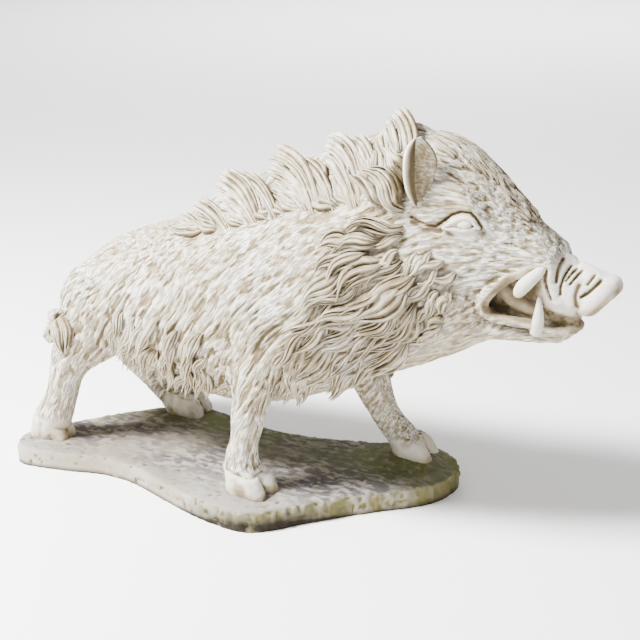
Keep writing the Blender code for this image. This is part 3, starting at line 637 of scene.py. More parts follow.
def fringeLocks():
    luck = np.random.default_rng(12)
    shapes, looks = [], []
    for (firstX, firstZ), (stepX, stepZ), count, length in fringe["rows"]:
        for rank in range(count):
            for hand in (-1, 1):
                start = bodyPoint(firstX + stepX * rank + luck.uniform(-0.6, 0.6), hand * 16.0,
                                  firstZ + stepZ * rank + luck.uniform(-1.8, 2.4))
                points, normals = hairLine(start, length * luck.uniform(0.8, 1.15), 13, fringe["lift"],
                                           0.55 * luck.uniform(-1, 1), luck.uniform(0, 6.3), 0.1, free=fringe["free"])
                made = strandLock(points, normals, luck.uniform(*fringe["halfWidth"]),
                                  luck.uniform(*fringe["height"]), int(luck.integers(3, 6)), luck, sides=6)
                shapes += made[0]
                looks += made[1]
    return shapes, looks


# The tuft at the end of the tail, spread on the right haunch
tailTuft = {"root": (-34.2, -12.2, 28.8), "way": (0.42, -0.1, -0.88), "length": 9.5, "halfWidth": 3.0, "height": 2.0, "strands": 9}


def tuftLock():
    luck = np.random.default_rng(14)
    points, normals = hairLine(bodyPoint(*tailTuft["root"]), tailTuft["length"], 18, 0.5, 0.25, 0.6, 0.1, Vector(tailTuft["way"]))
    return strandLock(points, normals, tailTuft["halfWidth"], tailTuft["height"], tailTuft["strands"], luck)


# Painted shade in the pocket behind each ear: how much the locks there are darkened
def paintedShadeBehindEar(points):
    away = (points - np.array([41.4, 0.0, 68.5])) / np.array([2.4, 1.0, 6.0])
    away[:, 1] = (np.abs(points[:, 1]) - 9.0) / 4.0
    return 0.8 * (1 - ramp(np.linalg.norm(away, axis=1), 0.5, 1.1))


hairPieces = []
for hairName, (hairShapes, hairLooks) in {
        "maneRight": neckLocks(-1), "maneLeft": neckLocks(1), "crestTufts": crestLocks(), "cheekHair": cheekLocks(),
        "faceFur": faceStrokes(), "bellyFringe": fringeLocks(), "tailTuft": tuftLock()}.items():
    # Locks in the pocket behind each ear get painted shade
    for hairShape, hairLook in zip(hairShapes, hairLooks):
        hairLook[:, 0] = np.clip(hairLook[:, 0] + paintedShadeBehindEar(hairShape[0]), 0, 1)
    hairPieces.append(meshObject(hairName, hairShapes, hairLooks))
print("locks laid:", [(p.name, len(p.data.polygons)) for p in hairPieces])

# Feet: middle of each hoof and the way that it points, and the profile of one claw
feet = {
    "hooves": {
        "foreRight": (13.0, -13.6, 1.0, -0.10), "foreLeft": (35.6, 14.8, 1.0, 0.05),
        "hindRight": (-38.2, -11.4, 1.0, -0.08), "hindLeft": (-19.0, 12.6, 1.0, 0.05),
    },
    "claw": [(-4.2, 2.0, 1.2), (-2.6, 4.4, 1.9), (-0.4, 5.3, 2.15), (1.8, 4.0, 2.0), (3.2, 2.0, 1.5), (3.9, 0.7, 0.8)],
    "clawOut": {"foreRight": 2.05, "foreLeft": 2.05, "hindRight": 1.1, "hindLeft": 1.9},
    "dewClaw": (5.0, 1.9, 4.6, (1.0, 0.9, 1.4)),
}


def hoofShapes(name):
    x, y, wayX, wayY = feet["hooves"][name]
    way = Vector((wayX, wayY, 0)).normalized()
    side = Vector((-way.y, way.x, 0))
    sink = figure["hoofSink"]
    shapes = []
    for hand in (-1, 1):
        rings = []
        for along, height, half in smoothRows(feet["claw"], 3):
            centre = Vector((x, y, (height - sink) / 2)) + way * along + side * hand * feet["clawOut"][name]
            rings.append([bodyPoint(*(centre + side * half * math.cos(a) + Vector((0, 0, (height + sink) / 2 * math.sin(a)))))
                          for a in 2 * math.pi * np.arange(24) / 24])
        shapes.append(loft(rings))
        if name == "foreRight":
            behind, out, height, radii = feet["dewClaw"]
            spot = Vector((x, y, 0)) - way * behind + side * hand * out
            shapes.append(ball(bodyPoint(spot.x, spot.y, height), radii))
    return shapes


# The tail curls round to the right haunch, its end hangs behind and its tuft lies on the haunch
tail = {
    "tail": [
        (-34.5, -0.5, 24.2, 2.0, 2.0), (-38.0, -2.6, 24.6, 1.9, 1.9), (-39.2, -5.6, 25.0, 1.8, 1.8),
        (-38.2, -8.6, 26.0, 1.8, 1.8), (-36.2, -11.0, 27.4, 1.8, 1.7), (-34.4, -12.4, 27.6, 1.6, 1.4),
    ],
    "end": [
        (-40.0, -6.4, 24.8, 1.1, 1.0), (-40.9, -7.2, 22.8, 1.4, 1.3), (-41.2, -7.6, 20.8, 1.8, 1.6),
        (-41.0, -7.7, 19.2, 0.9, 0.9),
    ],
}

# The snout's disc: distance along the head and size of each ring
snout = {
    "rings": [
        (25.6, 0.60), (27.5, 0.76), (29.0, 0.89), (30.1, 0.97), (31.0, 1.07), (31.9, 1.10), (32.7, 1.04), (33.3, 0.93),
        (33.7, 0.78), (33.8, 0.60),
    ],
    "lean": 0.12,
    "top": 15.0,
    "bottom": 6.9,
    "halfWidth": 4.3,
}

# Lips in head axes: u, out, v and two radii
lip = [
    (21.6, 5.5, 9.8, 0.8, 0.8), (20.1, 6.0, 8.5, 1.05, 1.0), (18.5, 6.4, 5.2, 1.15, 1.15), (17.6, 6.7, 1.2, 1.2, 1.25),
    (18.0, 6.5, -1.9, 1.2, 1.25), (20.0, 5.9, -2.9, 1.1, 1.1), (23.4, 5.2, -1.5, 1.0, 1.0), (26.4, 4.8, 0.5, 1.0, 1.0),
    (30.0, 4.1, 1.9, 0.9, 0.9), (32.4, 2.3, 3.6, 0.8, 0.8), (33.0, 0.0, 4.2, 0.7, 0.7),
]


def snoutDisc():
    middle = (snout["top"] + snout["bottom"]) / 2
    half = (snout["top"] - snout["bottom"]) / 2
    rings = []
    for u, size in smoothRows(snout["rings"], 3):
        ring = []
        for a in 2 * math.pi * np.arange(40) / 40:
            c, s = math.cos(a), math.sin(a)
            v = half * math.copysign(abs(s) ** 0.91, s) * size
            ring.append(headPoint(u + snout["lean"] * v, snout["halfWidth"] * math.copysign(abs(c) ** 0.91, c) * size, middle + v))
        rings.append(ring)
    return loft(rings)


skinShapes = [(np.array([v.co[:] for v in form.data.vertices]), [list(p.vertices) for p in form.data.polygons])]
skinShapes += [snoutDisc()] + [limb(rows, count=16) for rows in tail.values()]
skinShapes += [limb(mirrored([(r[0], -r[1], *r[2:]) for r in lip], hand), headPoint) for hand in (-1, 1)]
for hoofName in feet["hooves"]:
    skinShapes += hoofShapes(hoofName)
skin = fuse("skin", skinShapes, figure["skinGrain"], 2)
print("skin fused:", len(skin.data.polygons), "faces")

# Lines cut into the face or raised on it, in head axes: u and v of the points, half width, depth in
faceLines = {
    "browFold": (
        [(-0.5, 3.3), (0.6, 3.4), (2.4, 3.8), (3.8, 4.8), (4.6, 8.0), (5.5, 9.4), (7.0, 10.4), (8.6, 10.1), (9.9, 9.4)],
        0.32, 0.8),
    "tearDuct": ([(8.6, 9.1), (9.7, 9.2), (10.6, 8.8)], 0.5, 0.7),
    "browSlit": ([(0.0, 2.6), (2.6, 3.0), (5.0, 4.7)], 0.4, 0.5),
    "ridge": ([(21.6, 12.5), (23.1, 10.5), (25.6, 7.9), (27.6, 7.1)], 0.8, -0.4),
    "noseFold": ([(20.9, 14.5), (22.9, 13.7), (23.5, 12.3), (24.3, 11.0), (25.1, 9.9)], 0.30, 0.45),
    "foldA": ([(22.7, 10.4), (23.4, 9.0), (24.6, 8.0), (26.3, 6.8)], 0.30, 0.7),
    "foldC": ([(25.0, 12.9), (25.6, 11.0), (26.3, 9.5), (27.0, 8.5)], 0.24, 0.5),
    "foldD": ([(26.0, 13.2), (26.1, 11.8), (26.2, 10.9)], 0.24, 0.45),
    "foldE": ([(26.9, 13.4), (27.0, 12.0), (27.1, 10.9)], 0.24, 0.45),
    "foldF": ([(28.3, 11.6), (29.1, 9.9), (30.3, 8.6)], 0.45, 0.3),
    "foldG": ([(29.0, 14.2), (29.1, 13.6), (29.2, 12.6)], 0.24, 0.5),
    "foldH": ([(30.4, 14.2), (30.3, 12.9), (30.2, 11.7), (29.9, 10.4)], 0.28, 0.6),
}


def distanceToLine(a, b, line):
    best = np.full(len(a), 1e9)
    for (a0, b0), (a1, b1) in zip(line[:-1], line[1:]):
        da, db = a1 - a0, b1 - b0
        t = np.clip(((a - a0) * da + (b - b0) * db) / (da * da + db * db), 0, 1)
        best = np.minimum(best, np.hypot(a - a0 - t * da, b - b0 - t * db))
    return best


# How deep the relief is cut in the skin
relief = {
    "fur": 0.32,
    "furWidth": 0.62,
    "furLength": 3.4,
    "tufts": 0.26,
    "tuftWidth": 2.0,
    "tuftLength": 9.0,
    "headFur": 0.15,
    "headFurWidth": 0.55,
    "headFurLength": 2.8,
    "grain": 0.012,
}


def meshArrays(mesh):
    points = np.empty(len(mesh.vertices) * 3)
    mesh.vertices.foreach_get("co", points)
    normals = np.empty(len(mesh.vertices) * 3)
    mesh.vertex_normals.foreach_get("vector", normals)
    edges = np.empty(len(mesh.edges) * 2, int)
    mesh.edges.foreach_get("vertices", edges)
    return points.reshape(-1, 3), normals.reshape(-1, 3), edges.reshape(-1, 2)


# How far each point lies below the mean of its surroundings
def sunkDepth(points, normals, edges, rounds):
    count = len(points)
    degree = np.bincount(edges.ravel(), minlength=count)[:, None]
    mean = points.copy()
    for _ in range(rounds):
        total = np.stack([np.bincount(edges[:, 0], mean[edges[:, 1], k], count)
                          + np.bincount(edges[:, 1], mean[edges[:, 0], k], count) for k in range(3)], axis=1)
        mean = 0.5 * mean + 0.5 * total / degree
    return ((mean - points) * normals).sum(axis=1)


def carveSkin(obj):
    points, normals, edges = meshArrays(obj.data)
    x, y, z = points[:, 0], points[:, 1], points[:, 2] - figure["slabTop"]
    u, v = headAxes(points)
    side = np.abs(y)
    lipLow = np.interp(u, [17.5, 19.3, 21.1, 23.5, 26.2, 28.6, 33.0], [-1.0, -2.4, -2.0, -0.6, 1.2, 2.4, 3.6])
    lipHigh = np.interp(u, [17.0, 18.5, 20.0, 22.0, 24.3, 26.5, 28.0, 30.2], [2.0, 5.5, 8.6, 9.5, 6.2, 3.6, 3.8, 5.2])
    inMouth = ramp(u, 17.2, 18.4) * ramp(v, lipLow - 0.8, lipLow) * ramp(-v, -lipHigh - 1.2, -lipHigh)
    aboveMouth = ramp(v, lipHigh, lipHigh + 1.5)
    bare = np.maximum(inMouth, ramp(u, 21.0, 24.5) * aboveMouth)
    eye = np.hypot((u - 7.4) / 2.9, (v - 8.2) / 2.4)
    bare = np.maximum(bare, 1 - ramp(eye, 0.75, 1.25))
    onHead = ramp(u, -6.0, -1.0) * ramp(x, 40.0, 45.0)
    foot = np.zeros(len(points))
    for footX, footY, _, _ in feet["hooves"].values():
        near = np.hypot(x - footX, y - footY)
        foot = np.maximum(foot, (1 - ramp(near, 5.0, 6.5)) * (1 - ramp(z, 3.8, 5.4)))
    leg = 1 - ramp(z, 13.0, 20.0)
    furDepth = relief["fur"] * (1 - 0.45 * leg) * (0.55 + 0.45 * ramp(-z, -46.0, -34.0)) * (1 - onHead) * (1 - foot)
    place = furPlace(points)
    fur = strokes(streaks(place, relief["furWidth"], relief["furLength"], 3))
    tufts = strokes(streaks(place, relief["tuftWidth"], relief["tuftLength"], 4), 0.4)
    headFur = strokes(streaks(place, relief["headFurWidth"], relief["headFurLength"], 6))
    height = furDepth * (fur - 1)
    height += relief["tufts"] * (1 - leg) * (1 - onHead) * (0.35 + 0.65 * ramp(-z, -44.0, -30.0)) * (tufts - 1)
    height += relief["headFur"] * onHead * (1 - bare) * (headFur - 1) * (1 + 0.7 * ramp(v, 9.0, 13.0) * (1 - ramp(u, 2.0, 14.0)))
    height += 0.14 * onHead * (1 - bare) * (tufts - 1)
    lateral = ramp(side, 1.0, 2.5)
    lines = np.zeros(len(points))
    for line, halfWidth, depth in faceLines.values():
        cut = np.exp(-(distanceToLine(u, v, line) / halfWidth) ** 2) * onHead
        height -= depth * cut * lateral
        lines = np.maximum(lines, cut * lateral * (depth > 0))
    nostril = 1 - ramp(np.sqrt(((side - 2.3) / 1.3) ** 2 + ((v - 11.0) / 1.9) ** 2 + ((u - 33.5) / 1.3) ** 2), 0.4, 1.1)
    height -= 1.0 * nostril
    for footName in ("foreRight", "hindLeft"):
        footX, footY, _, _ = feet["hooves"][footName]
        near = 1 - ramp(np.hypot(x - footX, y - footY), 5.0, 6.0)
        height -= 0.28 * near * np.exp(-((z - 4.3 + 0.15 * (x - footX)) / 0.28) ** 2)
    earPocket = np.hypot(np.hypot((x - 41.6) / 1.8, (z - 64.5) / 4.5), (side - 9.5) / 3.0)
    height -= 0.9 * (1 - ramp(earPocket, 0.3, 1.0))
    height += 0.10 * latticeNoise(points, 0.5, 21) * inMouth + 0.05 * latticeNoise(points, 1.1, 22)
    height += relief["grain"] * latticeNoise(points, 0.3, 23) + 0.07 * foot * latticeNoise(points, 0.9, 25)
    points = points + normals * height[:, None]
    obj.data.vertices.foreach_set("co", points.ravel())
    obj.data.update()
    points, normals, edges = meshArrays(obj.data)
    # Grooves of the fur and fine hollows: dirt and painted shade
    groove = (1 - fur) * (1 - onHead) * (1 - foot) + (1 - headFur) * onHead * (1 - bare)
    dirtAndShade = 0.36 * ramp(groove, 0.3, 1.0) + 0.10 * (1 - tufts) ** 2 * (1 - foot) * (1 - onHead)
    dirtAndShade += np.clip(sunkDepth(points, normals, edges, 3) / 0.07, 0, 1) * 0.3
    # Painted shade in broad recesses
    dirtAndShade += np.clip(sunkDepth(points, normals, edges, 30) / 0.3, 0, 1) * 0.4
    dirtAndShade += foot * (0.15 + 0.3 * ramp(latticeNoise(points, 1.4, 24) - 0.2 * z, -0.9, 0.3))
    # Painted shade on the front of the snout's disc
    front = 0.5 * ramp(u - 0.12 * (v - 10.9), 32.4, 33.1) * ramp(v, 6.0, 8.0)
    # Painted shade inside the mouth and in the nostrils; dirt and painted shade in the cut face lines
    dirtAndShade = np.clip(dirtAndShade + 0.6 * inMouth + 0.7 * nostril + 0.65 * lines + front, 0, 1)
    furry = (1 - bare) * (1 - foot)
    return {"normal": normals, "dirtAndShade": dirtAndShade, "furry": furry, "furPlace": place}


# Cuts a finished skin of four-sided faces into closed pieces from tail to snout, keeping its shading
def cutIntoPieces(obj, looks, names, cuts):
    mesh = obj.data
    points = meshArrays(mesh)[0]
    quads = np.empty(len(mesh.loops), int)
    mesh.loops.foreach_get("vertex_index", quads)
    quads = quads.reshape(-1, 4)
    middle = points[quads].mean(axis=1)[:, 0]
    edges = [-1e9] + cuts + [1e9]
    made = []
    for name, low, high in zip(names, edges[:-1], edges[1:]):
        used, inverse = np.unique(quads[(middle >= low) & (middle < high)], return_inverse=True)
        part = bpy.data.meshes.new(name)
        part.from_pydata(points[used].tolist(), [], inverse.reshape(-1, 4).tolist())
        shell = bmesh.new()
        shell.from_mesh(part)
        rim = [edge for edge in shell.edges if edge.is_boundary]
        caps = bmesh.ops.holes_fill(shell, edges=rim, sides=0)["faces"]
        bmesh.ops.triangulate(shell, faces=caps)
        shell.to_mesh(part)
        shell.free()
        part.shade_smooth()
        writeLooks(part, looks["dirtAndShade"][used], looks["furry"][used], looks["furPlace"][used])
        part.normals_split_custom_set_from_vertices(looks["normal"][used].tolist())
        piece = bpy.data.objects.new(name, part)
        bpy.context.scene.collection.objects.link(piece)
        made.append(piece)
    bpy.data.objects.remove(obj)
    return made


skinPieces = cutIntoPieces(skin, carveSkin(skin), ["hindquarters", "flanks", "shoulders", "headSkin"], [-14.0, 9.0, 36.0])
print("skin carved:", [(p.name, len(p.data.polygons)) for p in skinPieces])


# A point on the side of the face at u, v, lifted off the skin
faceTree = treeOf(form)


def onFace(u, v, hand, lift=0.0):
    start = headPoint(u, hand * 16.0, v)
    point, normal, _, _ = faceTree.ray_cast(start, Vector((0, -hand, 0)))
    return point + normal * lift


# Eyes, lids, lips, tusks and tongue in head axes; rows of the limbs are u, out, v and two radii
face = {
    "eyeMiddle": (7.2, 8.1),
    "eyeRadii": (1.45, 0.75, 0.85),
    "eyeTurn": -0.12,
    "upperLid": [(4.9, 5.4), (5.6, 7.2), (6.2, 8.5), (7.0, 9.35), (8.0, 9.6), (8.8, 9.3), (9.7, 9.1)],
    "lowerLid": [(5.0, 5.4), (6.6, 6.5), (7.8, 7.1), (8.6, 8.1), (9.2, 9.0)],
    "lidRadius": (0.46, 0.36),
    "upperTusk": [
        (22.0, 5.4, 10.6, 0.45, 0.45), (21.9, 5.9, 9.6, 0.9, 0.85), (21.6, 6.5, 7.6, 1.2, 1.05), (21.5, 6.6, 5.6, 1.2, 1.05),
        (21.6, 6.5, 4.2, 0.9, 0.85), (21.7, 6.3, 3.5, 0.3, 0.3),
    ],
    "lowerTusk": [
        (28.2, 4.3, -0.2, 1.15, 1.0), (27.5, 5.0, 1.6, 1.1, 0.95), (26.5, 5.4, 3.3, 0.85, 0.8), (25.5, 5.6, 4.8, 0.55, 0.55),
        (24.6, 5.7, 5.9, 0.2, 0.2),
    ],
    "tongue": [
        (17.5, 2.6, 1.2, 1.4, 1.6), (20.0, 3.0, 1.6, 1.7, 1.6), (23.0, 2.8, 1.6, 1.6, 1.6), (26.5, 2.2, 2.4, 1.2, 1.4),
        (29.0, 1.6, 3.4, 0.8, 1.0),
    ],
}

# The ear as a leaf: height, x of its front and rear edges, how far out each of them stands
ear = {
    "rows": [
        (59.6, 45.3, 44.7, 8.4, 8.8), (61.2, 45.8, 44.1, 8.8, 10.0), (63.4, 46.4, 43.6, 9.0, 10.9),
        (65.8, 47.1, 43.3, 9.1, 11.4), (68.0, 47.5, 43.2, 9.1, 11.4), (69.4, 47.0, 43.2, 9.0, 11.2),
        (70.6, 46.0, 43.3, 8.8, 10.6), (71.5, 44.8, 43.5, 8.6, 9.9), (72.0, 44.1, 43.7, 8.5, 9.3),
    ],
    "bulge": 0.35,
    "rolledEdge": 0.72,
    "thickness": 0.9,
    "leftLaid": (-2.0, -4.0),
}


def tube(points, radii, count=12):
    points = [Vector(p) for p in smoothRows([tuple(p) for p in points], 4)]
    radii = np.interp(np.linspace(0, 1, len(points)), np.linspace(0, 1, len(radii)), radii)
    rings = []
    for i, point in enumerate(points):
        way = (points[min(i + 1, len(points) - 1)] - points[max(i - 1, 0)]).normalized()
        side = way.orthogonal().normalized() if abs(way.y) > 0.95 else (Vector((0, 1, 0)) - way * way.y).normalized()
        front = side.cross(way)
        rings.append([point + (front * math.cos(a) + side * math.sin(a)) * radii[i] for a in 2 * math.pi * np.arange(count) / count])
    return loft(rings)


def earShape(hand):
    back, down = ear["leftLaid"] if hand > 0 else (0.0, 0.0)
    rings = []
    for z, front, rear, frontOut, rearOut in smoothRows(ear["rows"], 4):
        roll = ear["rolledEdge"] * min(1.0, (front - rear) / 2.5)
        ring = []
        for t in np.linspace(0, 0.86, 14):
            ring.append((front + (rear - front) * t, frontOut + (rearOut - frontOut) * t ** 1.5 + ear["bulge"] * math.sin(math.pi * t)))
        for a in np.linspace(0.5 * math.pi, 1.5 * math.pi, 7):
            ring.append((rear + roll * math.cos(a), rearOut + 0.25 + roll * math.sin(a)))
        for t in np.linspace(0.9, 0.05, 9):
            ring.append((front + (rear - front) * t, frontOut + (rearOut - frontOut) * t ** 2 - ear["thickness"]))
        rings.append([bodyPoint(x + back, hand * out, z + down) for x, out in ring])
    return loft(rings)


def faceShapes():
    shapes = []
    for hand in (-1, 1):
        eye = onFace(*face["eyeMiddle"], hand, -0.08)
        shapes.append(ball(eye, face["eyeRadii"], face["eyeTurn"]))
        for name, radius in zip(("upperLid", "lowerLid"), face["lidRadius"]):
            shapes.append(tube([onFace(u, v, hand, 0.12) for u, v in face[name]], (0.5 * radius, radius, radius, radius, 0.6 * radius)))
        for name in ("upperTusk", "lowerTusk", "tongue"):
            shapes.append(limb(mirrored([(r[0], -r[1], *r[2:]) for r in face[name]], hand), headPoint))
        shapes.append(earShape(hand))
    return shapes


facePiece = meshObject("faceParts", faceShapes())
facePoints, faceNormals, faceEdges = meshArrays(facePiece.data)
earLeafShadeAndFur = ramp(facePoints[:, 0], 43.6, 44.6) * ramp(facePoints[:, 2], 62.0, 66.0) * (1 - ramp(facePoints[:, 0], 49.0, 52.0))
faceU, faceV = headAxes(facePoints)
paintedTongueShade = ramp(faceU, 17.0, 17.4) * (1 - ramp(np.abs(facePoints[:, 1]), 4.5, 4.9)) * (1 - ramp(faceV, 3.6, 4.4))
# Hollows between the parts get dirt and painted shade; the ear's leaf and the tongue get painted shade
faceDirtAndShade = np.clip(sunkDepth(facePoints, faceNormals, faceEdges, 6) / 0.08, 0, 1) + 0.5 * earLeafShadeAndFur + 0.5 * paintedTongueShade
writeLooks(facePiece.data, np.clip(faceDirtAndShade, 0, 1), earLeafShadeAndFur, furPlace(facePoints))
print("face made:", len(facePiece.data.polygons), "faces")

# The slab under the feet, seen from above, and its rough faces
slab = {
    "outline": [
        (-42.9, -14.7), (-39.5, -18.5), (-29.6, -16.8), (-20.7, -14.2), (-13.0, -14.3), (-3.9, -16.9),
        (5.2, -19.7), (13.6, -20.6), (17.8, -18.4), (22.9, -12.4), (30.7, -4.5), (39.7, 3.5), (42.7, 9.3),
        (42.8, 15.0), (38.9, 19.3), (32.0, 21.1), (24.1, 17.0), (16.2, 14.4), (4.0, 11.3), (-7.3, 13.4),
        (-15.8, 14.4), (-23.5, 11.8), (-32.3, 3.0), (-38.3, -5.0), (-42.4, -10.8),
    ],
    "margin": 2.0,
    "edgeRounding": 1.2,
    "grain": 0.42,
    "mound": ((34.5, 14.0, -0.6), (8.2, 6.6, 2.2), 0.4),
    "rimRoughness": 0.55,
    "topRoughness": 0.22,
}


def slabShapes():
    closed = smoothRows(slab["outline"] + slab["outline"][:3], 5)
    line = np.array(closed[5:5 * (len(slab["outline"]) + 1)])
    top, rounding = figure["slabTop"], slab["edgeRounding"]
    rings = []
    for z, grow in ((0.0, 0.0), (top - rounding, 0.0), (top - rounding * 0.3, -rounding * 0.3), (top, -rounding)):
        spot = line * (1 + (slab["margin"] + grow) / np.linalg.norm(line, axis=1))[:, None]
        rings.append(np.column_stack([spot, np.full(len(spot), z)]))
    middle, radii, tilt = slab["mound"]
    return [loft(rings), ball(bodyPoint(*middle), radii, tilt=tilt)]


def buildSlab():
    obj = fuse("slab", slabShapes(), slab["grain"], 1)
    points, normals, edges = meshArrays(obj.data)
    z = points[:, 2]
    rim = ramp(1 - np.abs(normals[:, 2]), 0.05, 0.5)
    top = ramp(normals[:, 2], 0.5, 0.9)
    low = ramp(z, 0.1, 0.9)
    rough = (0.6 * latticeNoise(points, 2.4, 31) + 0.5 * latticeNoise(points, 1.0, 32)
             - 0.7 * lumps(latticeNoise(points, 1.6, 33) * 2.2) + 0.3)
    smoothRim = 1 - 0.7 * ramp(-points[:, 0], -6.0, 4.0) * ramp(-points[:, 1], 4.0, 12.0)
    height = slab["rimRoughness"] * rim * low * rough * smoothRim
    swirl = points * np.array([1.0, 1.0, 0.2]) + 1.5 * np.stack([latticeNoise(points, 6.0, 34), latticeNoise(points, 6.0, 35), 0 * z], axis=1)
    cracks = 1 - lumps(latticeNoise(swirl, 3.0, 36) * 2.0)
    height += slab["topRoughness"] * top * (0.7 * latticeNoise(points, 3.5, 37) + 0.4 * latticeNoise(points, 0.9, 38) - 0.6 * cracks)
    height -= 0.25 * (rim + top).clip(0, 1) * ramp(latticeNoise(points, 1.3, 39), 0.45, 0.75) * low
    points = points + normals * height[:, None]
    points[:, 2] = np.where(z < 0.3, np.maximum(points[:, 2], 0.0) * 0.0, np.maximum(points[:, 2], 0.02))
    obj.data.vertices.foreach_set("co", points.ravel())
    obj.data.update()
    points, normals, edges = meshArrays(obj.data)
    # Cracks and dips of the slab: dirt and painted shade
    dirtAndShade = np.clip(sunkDepth(points, normals, edges, 4) / 0.05, 0, 1)
    obj.data.attributes.new("dirtAndShade", "FLOAT", "POINT").data.foreach_set("value", dirtAndShade)
    obj.data.shade_smooth()
    return obj


slabPiece = buildSlab()
print("slab made:", len(slabPiece.data.polygons), "faces")
bpy.data.objects.remove(form)


# Finish
def addNode(tree, kind, inputs=None, **settings):
    node = tree.nodes.new(kind)
    for name, value in settings.items():
        setattr(node, name, value)
    for name, value in (inputs or {}).items():
        if isinstance(value, bpy.types.NodeSocket):
            tree.links.new(value, node.inputs[name])
        else:
            node.inputs[name].default_value = value
    return node


def newGroup(name, inputs, outputs):
    tree = bpy.data.node_groups.new(name, "ShaderNodeTree")
    for inOut, sockets in (("INPUT", inputs), ("OUTPUT", outputs)):
        for label, kind, value in sockets:
            socket = tree.interface.new_socket(label, in_out=inOut, socket_type="NodeSocket" + kind)
            if value is not None:
                socket.default_value = value
    return tree, tree.nodes.new("NodeGroupInput").outputs, tree.nodes.new("NodeGroupOutput").inputs


def noiseMask(tree, scale, low, high, detail=3.0, offset=(0.0, 0.0, 0.0), squash=(1.0, 1.0, 1.0)):
    place = addNode(tree, "ShaderNodeMapping", {"Vector": addNode(tree, "ShaderNodeTexCoord").outputs["Object"],
                                               "Location": offset, "Scale": squash})
    cloud = addNode(tree, "ShaderNodeTexNoise", {"Vector": place.outputs[0], "Scale": scale, "Detail": detail})
    return addNode(tree, "ShaderNodeMapRange", {"Value": cloud.outputs["Fac"], "From Min": low, "From Max": high}).outputs[0]


def mixed(tree, factor, first, second):
    node = addNode(tree, "ShaderNodeMix", data_type="RGBA")
    for socket, value in ((node.inputs[0], factor), (node.inputs[6], first), (node.inputs[7], second)):
        if isinstance(value, bpy.types.NodeSocket):
            tree.links.new(value, socket)
        else:
            socket.default_value = value
    return node.outputs[2]


def maths(tree, operation, first, second=0.0, clamp=False):
    node = addNode(tree, "ShaderNodeMath", operation=operation, use_clamp=clamp)
    for socket, value in zip(node.inputs, (first, second)):
        if isinstance(value, bpy.types.NodeSocket):
            tree.links.new(value, socket)
        else:
            socket.default_value = value
    return node.outputs[0]


